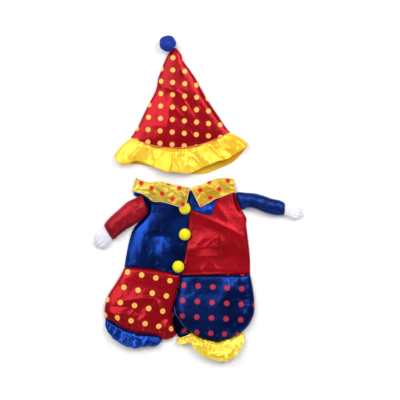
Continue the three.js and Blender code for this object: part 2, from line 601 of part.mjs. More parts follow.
/** Rings of a flattened tube worked out from a table of sections. */
function sectionRings(table, options) {
  const { rows, topColumns, underColumns, side } = options;
  const { folds = [], puffs = [], power = TUBE_ROUNDNESS } = options;
  const rings = [];
  for (let row = 0; row < rows; row += 1) {
    const down = row / (rows - 1);
    const value = (column) => along(table, column, down);
    const rise = value("rise");
    const widest = Math.min(side, rise * WIDEST_SHARE);
    const gathered = smoothstep(down, PUFF_START, 1);
    const section = {
      leftX: value("leftX"),
      leftY: value("leftY"),
      rightX: value("rightX"),
      rightY: value("rightY"),
      sag: value("sag"),
    };
    const ring = topShares(topColumns).map((share) => {
      const point = sectionPoint(section, share, puffs, gathered);
      const crown = crownShare(share, power);
      const lift = puffs.reduce((sum, puff) => {
        return sum + puff.lift * bell((share - puff.at) / puff.width);
      }, 0);
      const folded = foldHeight(folds, point.x, point.y) * crown;
      point.z = widest + (rise - widest) * crown + folded + lift * gathered * crown;
      return point;
    });
    for (const share of underShares(underColumns)) {
      const flap = smoothstep(1 - share / UNDER_FLAP_WIDTH, 0, 1);
      const point = sectionPoint(section, share, puffs, gathered);
      point.x -= value("underX") * flap;
      point.y -= value("underY") * flap;
      point.z = underHeight(share, widest);
      ring.push(point);
    }
    rings.push(ring);
  }
  return rings;
}

/** A point on a section's line, at a share of its width, with the puffs that push it out. */
function sectionPoint(section, share, puffs = [], gathered = 1) {
  const { leftX, leftY, rightX, rightY, sag } = section;
  const bow = 1 - (2 * share - 1) ** 2;
  const puff = puffs.reduce((sum, { at, reach, width }) => {
    return sum + reach * bell((share - at) / width);
  }, 0);
  return new THREE.Vector3(
    lerp(leftX, rightX, share),
    lerp(leftY, rightY, share) - sag * bow - puff * gathered,
    0,
  );
}

/** The line along which a frill is sewn to a section's edge, between two shares of its width. */
function seamAlong(section, puffs, { seamFrom = 0, seamTo = 1, seamStart = [] }) {
  const points = Array.from({ length: SEAM_POINTS }, (_, index) => {
    const share = lerp(seamFrom, seamTo, index / (SEAM_POINTS - 1));
    const point = sectionPoint(section, share, puffs);
    return [point.x, point.y - FRILL_GAP];
  });
  return lineThrough([...seamStart, ...points]);
}

/** Rings of a gathered frill: waves that grow from its seam to its free edge. */
function frillRings(frill, seam) {
  const topColumns = frill.waves * FRILL_STEPS_PER_WAVE + 1;
  const edge = lineThrough(frill.edge);
  const underEdge = lineThrough(frill.underEdge);
  const rings = [];
  for (let row = 0; row < FRILL_ROWS; row += 1) {
    const down = row / (FRILL_ROWS - 1);
    const rise = lerp(frill.seamRise, frill.edgeRise, Math.sin((down * Math.PI) / 2));
    const wave = frill.waveHeight * lerp(SEAM_WAVE_SHARE, 1, down);
    const ring = [];
    for (let column = 0; column < topColumns; column += 1) {
      const share = column / (topColumns - 1);
      const point = seam(share).lerp(edge(share), down);
      const phase = 2 * Math.PI * frill.waves * share;
      const crown = crownShare(share, FRILL_ROUNDNESS);
      point.y -= frill.scallop * down * Math.sin(phase + SCALLOP_LEAD) * crown;
      point.z = lerp(FRILL_SIDE, rise + wave * Math.sin(phase), crown);
      ring.push(point);
    }
    for (const share of underShares(FRILL_UNDER_COLUMNS)) {
      const point = seam(share).lerp(underEdge(share), down);
      point.z = underHeight(share, FRILL_SIDE);
      ring.push(point);
    }
    rings.push(ring);
  }
  return rings;
}

// ================================================================ romper body

const FRONT_FLOOR = SATIN + LAYER_GAP + SATIN; // top of a front where it meets its back

/** The height of the fronts' upper side at any point over the body. */
function frontHeight(x, y) {
  const left = outerEdge(BLUE_HALF, y);
  const right = outerEdge(RED_HALF, y);
  const across = clamp((2 * (x - left)) / (right - left) - 1, -1, 1);
  const crown = 1 - Math.abs(across) ** BODY_CROWN_POWER;
  const folded = foldHeight(FRONT_FOLDS, x, y) * Math.sqrt(crown);
  return FRONT_FLOOR + Math.max(0, BODY_CROWN * crown + folded);
}

/** Points of a body half in rows, with their height from a function of x and y. */
function halfPoints(half, rows, columns, seamShift, height) {
  return Array.from({ length: rows }, (_, row) => {
    const down = row / (rows - 1);
    const value = (column) => along(half, column, down);
    return Array.from({ length: columns }, (_, column) => {
      const share = column / (columns - 1);
      const x = lerp(value("outerX"), value("seamX") + seamShift, share);
      const y = lerp(value("outerY"), value("seamY"), share) + value("bow") * Math.sin(Math.PI * share);
      return new THREE.Vector3(x, y, height(x, y));
    });
  });
}

function frontPanel(half, seamShift) {
  return sheetSolid(halfPoints(half, FRONT_ROWS, FRONT_COLUMNS, seamShift, frontHeight), SATIN);
}

function backPanel(half, seamShift) {
  return sheetSolid(halfPoints(half, BACK_ROWS, BACK_COLUMNS, seamShift, () => SATIN), SATIN);
}

// ================================================================ collar

/** Height of the cloth under a collar point, lifted where it lies over the first button. */
function collarHeight(x, y, layers) {
  const button = BUTTONS[0];
  const away = Math.hypot(x - button.x, y - button.y);
  const overButton = COLLAR_BUTTON_LIFT * bell(away / COLLAR_LIFT_REACH);
  return frontHeight(x, y) + layers + overButton + Math.max(0, foldHeight(COLLAR_FOLDS, x, y));
}

/** One half of the collar, laid over the fronts, with its top at a height above them. */
function collarHalf(table, layers) {
  const points = Array.from({ length: COLLAR_COLUMNS }, (_, column) => {
    const share = column / (COLLAR_COLUMNS - 1);
    const value = (name) => along(table, name, share);
    return Array.from({ length: COLLAR_ROWS }, (_, row) => {
      const down = row / (COLLAR_ROWS - 1);
      const x = lerp(value("topX"), value("edgeX"), down);
      const y = lerp(value("topY"), value("edgeY"), down);
      return new THREE.Vector3(x, y, collarHeight(x, y, layers));
    });
  });
  return sheetSolid(points, COLLAR_WALL);
}

const PETAL_TOP = LAYER_GAP + PETAL_WALL;
const LEFT_COLLAR_TOP = LAYER_GAP + COLLAR_WALL;
const RIGHT_COLLAR_TOP = PETAL_TOP + LAYER_GAP + COLLAR_WALL;

function petalGeometry() {
  const points = Array.from({ length: PETAL_ROWS }, (_, row) => {
    const down = row / (PETAL_ROWS - 1);
    const value = (name) => along(PETAL, name, down);
    return Array.from({ length: PETAL_COLUMNS }, (_, column) => {
      const share = column / (PETAL_COLUMNS - 1);
      const x = lerp(value("topX"), value("edgeX"), share);
      const y = lerp(value("topY"), value("edgeY"), share);
      return new THREE.Vector3(x, y, frontHeight(x, y) + PETAL_TOP);
    });
  });
  return sheetSolid(points, PETAL_WALL);
}

// ================================================================ pompoms

/** A repeatable number between -1 and 1 for a lock. */
function uneven(index) {
  return Math.sin(index * 12.9898 + 4.1) * Math.cos(index * 4.898 + 1.7);
}

/** A pompom: a core whose every face carries one lock, wider at its root than at its top. */
function pompomGeometry(radius, { around, bands }, { top, seat }) {
  const points = [];
  const directions = [];
  const place = (direction, length) => {
    const point = direction.clone().multiplyScalar(length);
    directions.push(direction);
    point.z *= point.z < 0 ? seat : top;
    return points.push(point) - 1;
  };
  const direction = (band, turn) => {
    const polar = (Math.PI * band) / bands;
    const angle = (2 * Math.PI * (turn + 0.5 * (band % 2))) / around;
    return new THREE.Vector3(
      Math.sin(polar) * Math.cos(angle),
      Math.sin(polar) * Math.sin(angle),
      Math.cos(polar),
    );
  };
  const roots = [];
  for (let band = 0; band <= bands; band += 1) {
    const isPole = band === 0 || band === bands;
    const turns = isPole ? 1 : around;
    const ring = Array.from({ length: turns }, (_, turn) => {
      return place(direction(band, turn), radius * LOCK_ROOT);
    });
    roots.push({ ring, at: (turn) => ring[isPole ? 0 : ((turn % around) + around) % around] });
  }
  const triangles = [];
  let lock = 0;
  const addLock = (corners) => {
    const middle = new THREE.Vector3();
    corners.forEach((index) => middle.add(directions[index]));
    middle.normalize();
    const length = radius * (1 - LOCK_UNEVEN + LOCK_UNEVEN * uneven(lock));
    const rim = corners.map((index) => {
      return place(middle.clone().lerp(directions[index], LOCK_TOP).normalize(), length);
    });
    triangles.push(...rimTriangles(corners, rim));
    const crown = place(middle, length * LOCK_CROWN);
    rim.forEach((index, side) => triangles.push(crown, rim[(side + 1) % rim.length], index));
    lock += 1;
  };
  for (let band = 0; band < bands; band += 1) {
    const upper = roots[band];
    const lower = roots[band + 1];
    const shift = band % 2;
    for (let turn = 0; turn < around; turn += 1) {
      if (band === 0) addLock([upper.at(0), lower.at(turn), lower.at(turn + 1)]);
      else if (band === bands - 1) addLock([upper.at(turn + 1), upper.at(turn), lower.at(0)]);
      else {
        const [left, right] = [turn + shift, turn + 1 + shift];
        addLock([upper.at(turn), lower.at(left), lower.at(right), upper.at(turn + 1)]);
      }
    }
  }
  return closedGeometry(points, triangles);
}

// ================================================================ the set

const costume = new THREE.Group();

function addPiece(name, geometry, color, finish = CLOTH) {
  const mesh = new THREE.Mesh(geometry, new THREE.MeshStandardMaterial({ color, ...finish }));
  mesh.name = name;
  costume.add(mesh);
  return mesh;
}

function addBody() {
  addPiece("front_blue", frontPanel(BLUE_HALF, -SEAM_GAP / 2), BLUE);
  addPiece("front_red", frontPanel(RED_HALF, SEAM_GAP / 2), RED);
  addPiece("back_blue", backPanel(BLUE_HALF, -SEAM_GAP / 2), BLUE);
  addPiece("back_red", backPanel(RED_HALF, SEAM_GAP / 2), RED);
}

function addLegs() {
  const size = {
    rows: LEG_ROWS,
    topColumns: LEG_TOP_COLUMNS,
    underColumns: LEG_UNDER_COLUMNS,
    side: LEG_SIDE,
    folds: LEG_FOLDS,
  };
  addPiece("leg_red", tubeSolid(sectionRings(RED_LEG, { ...size, puffs: RED_PUFFS }), SATIN), RED);
  addPiece("leg_blue", tubeSolid(sectionRings(BLUE_LEG, { ...size, puffs: BLUE_PUFFS }), SATIN), BLUE);
  const redHem = seamAlong(RED_LEG.at(-1), RED_PUFFS, BLUE_CUFF);
  const blueHem = seamAlong(BLUE_LEG.at(-1), BLUE_PUFFS, YELLOW_CUFF);
  addPiece("cuff_blue", tubeSolid(frillRings(BLUE_CUFF, redHem), FRILL), BLUE);
  addPiece("cuff_yellow", tubeSolid(frillRings(YELLOW_CUFF, blueHem), FRILL), YELLOW);
}

function addCollar() {
  addPiece("collar_left", collarHalf(COLLAR_LEFT, LEFT_COLLAR_TOP), YELLOW);
  addPiece("collar_right", collarHalf(COLLAR_RIGHT, RIGHT_COLLAR_TOP), YELLOW);
  addPiece("collar_petal", petalGeometry(), BLUE);
}

function addSleeves() {
  const size = {
    topColumns: STUFFED_TOP_COLUMNS,
    underColumns: STUFFED_UNDER_COLUMNS,
    side: STUFFED_SIDE,
    power: STUFFED_ROUNDNESS,
  };
  const arm = { ...size, rows: STUFFED_ROWS, folds: SLEEVE_FOLDS };
  const hand = { ...size, rows: GLOVE_ROWS, folds: FINGER_FOLDS };
  addPiece("sleeve_red", stuffedSolid(sectionRings(RED_SLEEVE, arm)), RED);
  addPiece("sleeve_blue", stuffedSolid(sectionRings(BLUE_SLEEVE, arm)), BLUE);
  addPiece("glove_left", stuffedSolid(sectionRings(LEFT_GLOVE, hand)), WHITE);
  addPiece("glove_right", stuffedSolid(sectionRings(RIGHT_GLOVE, hand)), WHITE);
}

function addButtons() {
  for (const { name, x, y } of BUTTONS) {
    const geometry = pompomGeometry(BUTTON_RADIUS, BUTTON_LOCKS, BUTTON_SHAPE);
    const button = addPiece(name, geometry, YELLOW, WOOL);
    button.position.set(x, y, frontHeight(x, y) + LAYER_GAP + BUTTON_RADIUS * BUTTON_SHAPE.seat);
  }
}

function addHat() {
  const cone = sectionRings(HAT_CONE, {
    rows: HAT_ROWS,
    topColumns: HAT_TOP_COLUMNS,
    underColumns: HAT_UNDER_COLUMNS,
    side: HAT_SIDE,
    folds: HAT_FOLDS,
  });
  addPiece("hat_cone", tubeSolid(cone, SATIN, true), RED);
  const base = seamAlong(HAT_CONE[0], [], HAT_FRILL);
  addPiece("hat_frill", tubeSolid(frillRings(HAT_FRILL, base), FRILL), YELLOW);
  const { x, y, radius } = HAT_POMPOM;
  const pompom = addPiece("hat_pompom", pompomGeometry(radius, HAT_LOCKS, ROUND_SHAPE), POMPOM_BLUE, WOOL);
  pompom.position.set(x, y, radius * LOCK_CROWN + FLOOR_CLEARANCE);
}

addBody();
addLegs();
addCollar();
addSleeves();
addButtons();
addHat();

export default costume;
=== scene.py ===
"""Looks of a clown costume for a small dog, laid flat: a satin romper and its pointed hat.

Each sub-assembly is a class that holds its sizes in millimetres and makes thin cloth shells on
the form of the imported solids. Meshes are in metres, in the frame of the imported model.
"""

from __future__ import annotations

import logging
import math
from dataclasses import dataclass, field
from enum import Enum
from typing import Any, Callable, NamedTuple, Sequence, Union

import bpy
import numpy as np
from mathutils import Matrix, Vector


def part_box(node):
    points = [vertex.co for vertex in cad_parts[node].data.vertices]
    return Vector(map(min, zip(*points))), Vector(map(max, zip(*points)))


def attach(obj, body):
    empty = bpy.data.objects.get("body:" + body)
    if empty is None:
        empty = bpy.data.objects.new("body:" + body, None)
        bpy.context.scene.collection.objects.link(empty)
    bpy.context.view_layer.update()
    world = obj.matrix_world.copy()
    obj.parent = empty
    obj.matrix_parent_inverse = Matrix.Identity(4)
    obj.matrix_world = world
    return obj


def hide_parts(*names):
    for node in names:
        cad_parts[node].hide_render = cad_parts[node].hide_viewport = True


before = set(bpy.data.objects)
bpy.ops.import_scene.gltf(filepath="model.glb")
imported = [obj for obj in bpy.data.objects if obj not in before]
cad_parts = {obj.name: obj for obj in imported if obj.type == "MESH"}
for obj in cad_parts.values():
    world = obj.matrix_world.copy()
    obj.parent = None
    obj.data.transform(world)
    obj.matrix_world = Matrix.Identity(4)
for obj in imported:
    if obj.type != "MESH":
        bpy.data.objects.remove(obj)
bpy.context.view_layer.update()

LOG = logging.getLogger("costume")
MM = 0.001  # the tables and sizes below are in millimetres
CM2 = 1e4  # square centimetres in a square metre
BODY = "root"
SEED = 4217

Colour = tuple[float, float, float]
Place = tuple[float, float]


def srgb(red: int, green: int, blue: int) -> Colour:
    """The linear colour of an 8-bit sRGB one."""

    def linear(value: int) -> float:
        share = value / 255
        return share / 12.92 if share <= 0.04045 else ((share + 0.055) / 1.055) ** 2.4

    return linear(red), linear(green), linear(blue)


# ================================================================ tables


class Half(NamedTuple):
    """A line across one half of the bodice, from its outer edge to the centre seam."""

    section: str
    outer_x: float
    outer_y: float
    seam_x: float
    seam_y: float
    bow: float = 0.0


class Section(NamedTuple):
    """A line round a tube, from its left edge to its right one.

    sag drops the line's middle, rise is the tube's height, and under_x and under_y take the under
    layer out past the left edge.
    """

    section: str
    left_x: float
    left_y: float
    right_x: float
    right_y: float
    sag: float
    rise: float
    under_x: float = 0.0
    under_y: float = 0.0


class Strip(NamedTuple):
    """A line down or across a flat piece, from one edge to the other."""

    section: str
    top_x: float
    top_y: float
    edge_x: float
    edge_y: float


class Puff(NamedTuple):
    """A puff between two gathers of a hem, at a share of its width."""

    at: float
    reach: float
    lift: float
    width: float


class Fold(NamedTuple):
    """A ridge, or a trough where height is below 0, along a short bowed line.

    edge is the power of its profile: 2 is soft, and 1 is a crisp crease.
    """

    x0: float
    y0: float
    x1: float
    y1: float
    height: float
    width: float
    bow: float = 0.0
    edge: float = 2.0


BLUE_HALF = [
    Half("neck", -97, 23, -11.8, 13.6),
    Half("shoulder", -101.5, 8.5, -12.2, 4.5),
    Half("armhole top", -90, 1.5, -12.5, -5),
    Half("armhole depth", -79.3, -9.5, -12.9, -16),
    Half("armhole base", -79.5, -22, -13.3, -28.5),
    Half("underarm", -90.8, -35.2, -14, -41.5),
    Half("rib", -102.8, -48.5, -14.9, -54.5),
    Half("belly", -109, -66, -16.8, -71),
    Half("flank", -113.6, -87, -20.2, -94, 1),
    Half("waist", -117, -108.6, -26.6, -120.3, 3),
]
RED_HALF = [
    Half("neck", 57.5, 23, -11.8, 13.6),
    Half("shoulder", 58.2, 11.5, -12.2, 4.5),
    Half("armhole top", 60, 2, -12.5, -5),
    Half("armhole depth", 63, -9, -12.9, -16),
    Half("armhole base", 68, -19, -13.3, -28.5),
    Half("underarm", 74.2, -29, -14, -41.5),
    Half("rib", 78.2, -47, -14.9, -54.5),
    Half("belly", 81.2, -70, -16.8, -71),
    Half("flank", 83.4, -94, -20.2, -94),
    Half("waist", 84, -119.6, -26.6, -120.3),
]
FRONT_FOLDS = [Fold(*row) for row in (
    # the blue half
    (-78, -11, -80, -58, 2.8, 13, 0, 1.3), (-89, -44, -93, -108, 3.4, 15, 0, 1.2),
    (-55, -60, -57, -112, 4.6, 22, 0, 1.1), (-76, -59, -54, -61, -1.0, 5, 0, 1.4),
    (-22, -2, -25, -110, -2.2, 15), (-94, -74, -97, -101, 1.0, 6, 2, 1.5),
    (-70, -91, -63, -102, -1.1, 3.2, 1, 1.6), (-77, -88, -73, -105, 0.8, 3, 1, 1.5),
    (-77, -16, -71, -25, 0.8, 3, 1, 1.5), (-31, -76, -22, -88, 0.7, 4, 1, 1.6),
    (-43, -18, -44, -100, -0.9, 8, 2), (-88, -24, -84, -44, 0.6, 3.4, 1, 1.5),
    (-104, -112, -101, -98, 0.8, 3.5, 0, 1.6), (-90, -113, -86, -97, -0.7, 3.5, 0, 1.6),
    (-67, -116, -64, -103, 0.6, 3, 0, 1.6), (-46, -118, -45, -104, 0.8, 3.5, 0, 1.6),
    # the red half
    (-9, -21, 77, -62, 2.7, 6.4, 2, 1.2), (-3, -37, 39, -55, -1.6, 6, 0, 1.4),
    (-12, -81, 34, -77, 5.4, 15, 1, 1.3), (-6, -78, 16, -57, 1.8, 5, 1, 1.2),
    (14, -74, 34, -58, 1.4, 4, 1, 1.2), (37, -56, 37, -85, 1.2, 7, 0, 1.2),
    (-9, -92, 68, -93, -2.7, 9, 0, 1.4), (-14, -113, 58, -113, 1.3, 6, 0, 1.3),
    (18, -99, 4, -120, 1.0, 4, 0, 1.3), (18, -99, 39, -120, 0.8, 4, 0, 1.3),
    (26, -8, 52, -43, 0.8, 6, 3), (9, -67, 26, -59, 0.8, 2.6, 1, 1.4),
    (-10, -56, -2, -68, 0.8, 3, 1, 1.4), (34, -4, 36, -112, 1.2, 26),
    (58, -66, 66, -90, 0.7, 4, 2, 1.5), (66, -20, 70, -44, -0.6, 4, 1, 1.6),
    (56, -118, 58, -106, 0.7, 3.5, 0, 1.6),
)]

RED_LEG = [
    Section("waist", -116.8, -109.1, -27.4, -120.8, -3, 8.6),
    Section("hip", -123, -122, -30.4, -137, 0, 13),
    Section("thigh", -133, -138, -34.4, -154, 0, 14.2),
    Section("puff", -143, -154, -38.4, -169.5, 1, 16),
    Section("fullest", -148, -169.5, -41.3, -184, 4, 17.5),
    Section("lower puff", -149, -180, -39.4, -197, 8, 17),
    Section("turn", -148.6, -187, -36.4, -206, 11.5, 13.5),
    Section("hem", -147.4, -190, -34.8, -210.5, 13.5, 8),
]
BLUE_LEG = [
    Section("waist", -26.7, -120.9, 83.8, -120.1, 0, 8.6),
    Section("hip", -29.8, -138, 87, -136, 0, 13.2),
    Section("thigh", -33.8, -155, 89.8, -153, 0, 14.4),
    Section("puff", -37.6, -171, 91, -171, 0, 16.4, 1.6, 0),
    Section("fullest", -36, -182.5, 90, -184, 1.5, 18, 5, 3),
    Section("lower puff", -29, -193, 85, -196.5, 7, 17, 9.6, 8),
    Section("turn", -22.5, -203, 77.5, -207, 12.5, 13.5, 12.4, 10),
    Section("hem", -17, -209.8, 71.5, -212, 15.3, 8, 13.6, 10),
]
RED_PUFFS = [Puff(*row) for row in (
    (0.1, -1.2, 1.2, 0.05), (0.26, 0.4, 1.8, 0.06), (0.43, 1, 1.4, 0.06), (0.6, -0.6, 1.6, 0.05),
    (0.86, 9.5, 2.4, 0.1), (0.965, 5, 0.8, 0.05),
)]
BLUE_PUFFS = [Puff(*row) for row in (
    (0.16, -1.4, 1.6, 0.06), (0.36, -0.6, 1.2, 0.06), (0.55, 1.2, 1.8, 0.07),
    (0.76, 0.6, 1.3, 0.06), (0.92, 0, 1.4, 0.05),
)]
RED_LEG_FOLDS = [Fold(*row) for row in (
    (-116, -118, -124, -140, 2.2, 10, 0, 1.6), (-118, -162, -67, -157, 1.8, 6, 1, 1.2),
    (-67, -157, -60, -181, 1.2, 5, 0, 1.3), (-137, -171, -92, -178, -1.8, 6, 2, 1.3),
    (-97, -197, -75, -179, 1.6, 6, 0, 1.2), (-115, -205, -73, -213, 1.2, 4, 0, 1.4),
    (-73, -190, -63, -218, -1.4, 3, 1, 1.4), (-58, -209, -44, -206, 3.0, 8.5),
    (-62, -196, -44, -192, -1.2, 3.4, 2, 1.4), (-112, -132, -62, -140, -1.0, 7),
    (-144, -180, -124, -190, 1.2, 4, 2, 1.3), (-142, -188, -132, -196, -0.9, 3, 1, 1.4),
    (-90, -130, -78, -146, 0.8, 4, 2, 1.5), (-58, -124, -42, -134, 0.8, 4, 0, 1.5),
    (-100, -180, -86, -186, -0.9, 3, 1, 1.3), (-50, -150, -42, -178, 0.9, 4, -2, 1.4),
)]
BLUE_LEG_FOLDS = [Fold(*row) for row in (
    (32, -168, 60, -134, 3.2, 14, 0, 1.3), (-29, -130, -34, -182, 2.0, 12, 0, 1.6),
    (-12, -181, 61, -184, -1.2, 8, -1), (45, -124, 47, -142, 1.2, 3.2, 0, 1.4),
    (58, -124, 60, -144, 1.2, 3.2, 0, 1.4), (69, -124, 73, -146, 1.2, 3.2, 0, 1.4),
    (52, -126, 53, -138, -0.8, 2.4, 0, 1.4), (-26, -128, -20, -152, 0.4, 6, 2, 1.5),
    (-37, -179, -28, -197, 1.7, 2.3, 1, 1.2), (-28, -197, -16, -212, 1.6, 2.3, -1, 1.2),
    (-9, -208, 4, -215, 1.2, 3, 1, 1.4), (8, -204, 14, -216, 1.0, 3, 0, 1.4),
    (-22, -160, 8, -166, 0.7, 7, 3, 1.5), (30, -198, 36, -222, 0.9, 4, -2, 1.5),
    (52, -196, 62, -212, -0.9, 4, 2, 1.5), (72, -176, 80, -198, 0.8, 5, -2, 1.5),
)]

BLUE_CUFF_EDGE = [
    (-147.6, -200), (-144, -210), (-135, -220.8), (-124, -229), (-111, -235.2),
    (-101, -236.8), (-84, -234.6), (-66, -233.6), (-59, -228.6),
]
BLUE_CUFF_UNDER_EDGE = [
    (-147.6, -199.6), (-142, -211.5), (-132, -223.5), (-120, -231.5), (-105, -236),
    (-84, -233), (-66, -232), (-59, -228),
]
YELLOW_CUFF_EDGE = [
    (-34, -226.6), (-25, -231), (-13, -227.6), (-5, -236.6), (4, -245.4), (16.6, -252.4),
    (29, -256.2), (41, -257.2), (54, -254.4), (63, -246.4), (70, -234.4), (75.4, -221),
]
YELLOW_CUFF_UNDER_EDGE = [
    (-34, -226.2), (-25, -230.2), (-12, -227.2), (-2, -237), (12, -247.6), (30, -253.4),
    (48, -252), (60.4, -244.8), (68.6, -233.4), (75.4, -220.6),
]
HAT_FRILL_EDGE = [
    (-133.4, 70), (-125, 59), (-113, 56.4), (-98, 61.4), (-82, 55.8), (-58, 48.6), (-34, 44.4),
    (-17, 41.8), (0, 46), (18, 55.4), (34, 63.4), (50, 66), (64, 75), (80.6, 88),
]
HAT_FRILL_UNDER_EDGE = [
    (-133.4, 70), (-112, 58), (-84, 54.6), (-56, 47.6), (-30, 44.2), (-10, 41), (10, 40.4),
    (36, 50.2), (54, 58.4), (67.6, 70), (80.6, 87.6),
]
BLUE_CUFF_FLUTES = [
    (0, 0), (0.05, 1.3), (0.1, -0.5), (0.13, 1.0), (0.2, -0.4), (0.235, 1.6), (0.31, 0.3), (0.33, -0.6),
    (0.4, 1.5), (0.43, 0.2), (0.5, 1.0), (0.53, -0.7), (0.6, 1.7), (0.65, 0.4), (0.68, -0.3),
    (0.73, 1.2), (0.79, -0.6), (0.85, 1.4), (0.88, 0.2), (0.94, 1.1), (1, 0),
]
YELLOW_CUFF_FLUTES = [
    (0, 0), (0.04, 1.2), (0.08, -0.4), (0.13, 1.6), (0.18, 0.3), (0.21, -0.6), (0.27, 1.4), (0.33, 0.2),
    (0.36, 1.8), (0.43, -0.5), (0.47, 0.9), (0.5, -0.3), (0.57, 1.7), (0.62, 0.3), (0.65, 1.2),
    (0.7, -0.8), (0.77, 1.9), (0.81, 0.2), (0.84, 1.0), (0.88, -0.6), (0.94, 1.5), (1, 0),
]
HAT_FLUTES = [
    (0, 3.6), (0.02, 4.0), (0.05, 3.2), (0.22, -1.4), (0.25, -1.2), (0.33, 0.8), (0.406, 4.2),
    (0.425, 2.2), (0.5, 0.8), (0.563, 0.8), (0.58, -0.2), (0.632, -1.6), (0.66, -0.4), (0.737, 2.8),
    (0.79, 3.6), (0.81, 1.6), (0.86, -0.6), (0.9, -0.2), (0.95, 2.4), (0.98, 4.6), (1, 3.6),
]

HAT_FRILL_CREASES = [Fold(*row) for row in (
    (12, 88, 27, 74, -1.9, 2.0, 1, 1.2), (27, 74, 42, 69, -1.6, 2.0, -1, 1.2),
    (26, 78, 56, 80, 2.2, 5, 2, 1.2), (56, 92, 66, 80, -1.3, 3, 1, 1.3),
    (-131, 72, -112, 63, -2.2, 4, 2, 1.3), (-124, 62, -106, 60, 1.6, 3, -2, 1.3),
    (-71, 72, -69, 50, -1.5, 1.4, 0, 1.2),
)]
YELLOW_CUFF_CREASES = [Fold(*row) for row in (
    (-31, -222, -22, -233, 1.6, 1.6, 0, 1.3), (-25, -222, -15, -232, -1.8, 1.4, 1, 1.2),
    (-18, -221, -9, -230, 2.4, 2.0, 1, 1.2), (-10, -220, -2, -231, -2.0, 1.6, -1, 1.2),
    (-4, -222, 6, -238, 2.2, 2.2, 2, 1.2), (-12, -232, 18, -238, 1.8, 2.2, 3, 1.2),
    (16, -226, 12, -246, -1.6, 1.8, 1, 1.3), (58, -224, 60, -244, -2.0, 1.6, 1, 1.2),
    (64, -224, 68, -238, 1.6, 1.8, 1, 1.2), (24, -246, 52, -244, 1.8, 3.0, -2, 1.2),
    (42, -236, 40, -258, -1.8, 1.6, 1, 1.2), (26, -232, 34, -250, 1.6, 2.4, -2, 1.2),
)]

HAT_CONE = [
    Section("base", -106, 98.6, 50.6, 107.2, 20.5, 13.5),
    Section("brow", -94.6, 117, 42.6, 118, 13, 14.5),
    Section("lower third", -85.8, 136, 31, 136, 9, 14.5),
    Section("half", -76.2, 155, 18, 155, 6, 14),
    Section("upper half", -66.4, 174.5, 6.6, 174.5, 4, 13),
    Section("left notch", -62.8, 193.5, -3.8, 193.5, 3, 12),
    Section("upper third", -57.6, 206.5, -12.8, 206.5, 2, 11),
    Section("right notch", -53, 219, -21.8, 219, 1, 10),
    Section("neck of the tip", -47.2, 231, -26.4, 231, 0, 8.4),
    Section("tip", -40, 240.4, -33.4, 240.4, 0, 6.4),
]
HAT_FOLDS = [Fold(*row) for row in (
    (-64, 182, -22, 165, 3.3, 9, 2, 1.2), (-52, 172, -46, 152, -1.2, 5, 0, 1.4),
    (-47, 160, -49, 115, 2.2, 9, 2, 1.2), (-23, 168, 7, 123, -1.5, 6, -2, 1.4),
    (-6, 176, 40, 110, 3.4, 10, 1, 1.2), (-19, 115, 2, 88, 1.1, 2.6, 0, 1.2),
    (-106, 98, 50, 106, -2.2, 8, -20.5), (-95, 120, -49, 115, 0.9, 5, 0, 1.2),
    (-44, 150, -22, 128, 0.9, 3, 1, 1.3), (-36, 136, -26, 112, -0.9, 3, 1, 1.4),
    (-74, 150, -66, 128, 0.7, 4, 1, 1.5), (-60, 200, -44, 188, 0.7, 3.5, 2, 1.5),
    (-34, 214, -20, 196, 0.7, 3.5, 1, 1.5), (10, 132, 22, 112, -0.8, 3.4, 1, 1.4),
    (-70, 108, -56, 94, 0.7, 3, 1, 1.4),
)]

COLLAR_LEFT = [
    Strip("end", -98.5, 33.8, -104.4, 12.4),
    Strip("shoulder", -87.5, 28.8, -91, 9.6),
    Strip("scoop", -75, 26.2, -79.5, 3),
    Strip("fold", -66, 28, -71, -3.4),
    Strip("chest", -56, 27.2, -58, -4.2),
    Strip("inner chest", -42, 23.6, -44, -7.6),
    Strip("before the point", -27, 20.6, -31, -11.6),
    Strip("point", -12.6, 18, -20.4, -15),
]
COLLAR_RIGHT = [
    Strip("point", -10.4, 17, 4.4, -12.6),
    Strip("after the point", -2, 20.6, 11.6, -9),
    Strip("inner chest", 8, 23, 20, -4.6),
    Strip("chest", 17, 27.8, 28.4, 0.6),
    Strip("fold", 30, 32, 39.6, 4.2),
    Strip("shoulder", 43, 33.4, 49, 8.2),
    Strip("end", 57, 32, 61, 12),
]
COLLAR_FOLDS = [Fold(*row) for row in (
    (-68, 27, -50, 14, -1.5, 2.4, 1, 1.2), (-65, 20, -46, 6, 1.4, 2.2, 1, 1.2),
    (-54, 25, -30, 16, -1.1, 2.0, 1, 1.2), (-42, 16, -26, 0, 1.2, 2.0, 1, 1.2),
    (-80, 14, -66, 2, -1.0, 2.4, -1, 1.2), (10, 22, 30, 12, 1.0, 2.4, 1, 1.2),
    (-78, 24, -72, 2, 0.9, 5), (-60, 24, -50, 0, 0.8, 5), (-32, 18, -22, -6, 0.9, 5),
    (0, 18, 8, -4, 0.8, 5), (22, 26, 34, 8, 0.9, 6), (-74, 26, -62, 14, 0.9, 2.4, 2, 1.4),
    (-70, 18, -60, 6, -0.7, 2.4, 2, 1.4), (-52, 22, -36, 14, 0.8, 2.6, 2, 1.4),
    (-44, 12, -30, 2, 0.7, 2.6, -2, 1.4), (-30, 12, -20, 4, 0.7, 2.2, 2, 1.3),
    (-92, 26, -82, 16, 0.5, 3, 1, 1.5), (44, 28, 52, 14, 0.7, 4, 0, 1.6),
)]
PETAL = [
    Strip("root", -12.2, 12, 36, 6),
    Strip("shoulder", -12.2, 0, 30, -3),
    Strip("waist", -11.4, -10.5, 26.4, -14),
    Strip("side", -9, -17, 24, -21.6),
    Strip("tip", 3, -22.6, 20.6, -26.4),
]

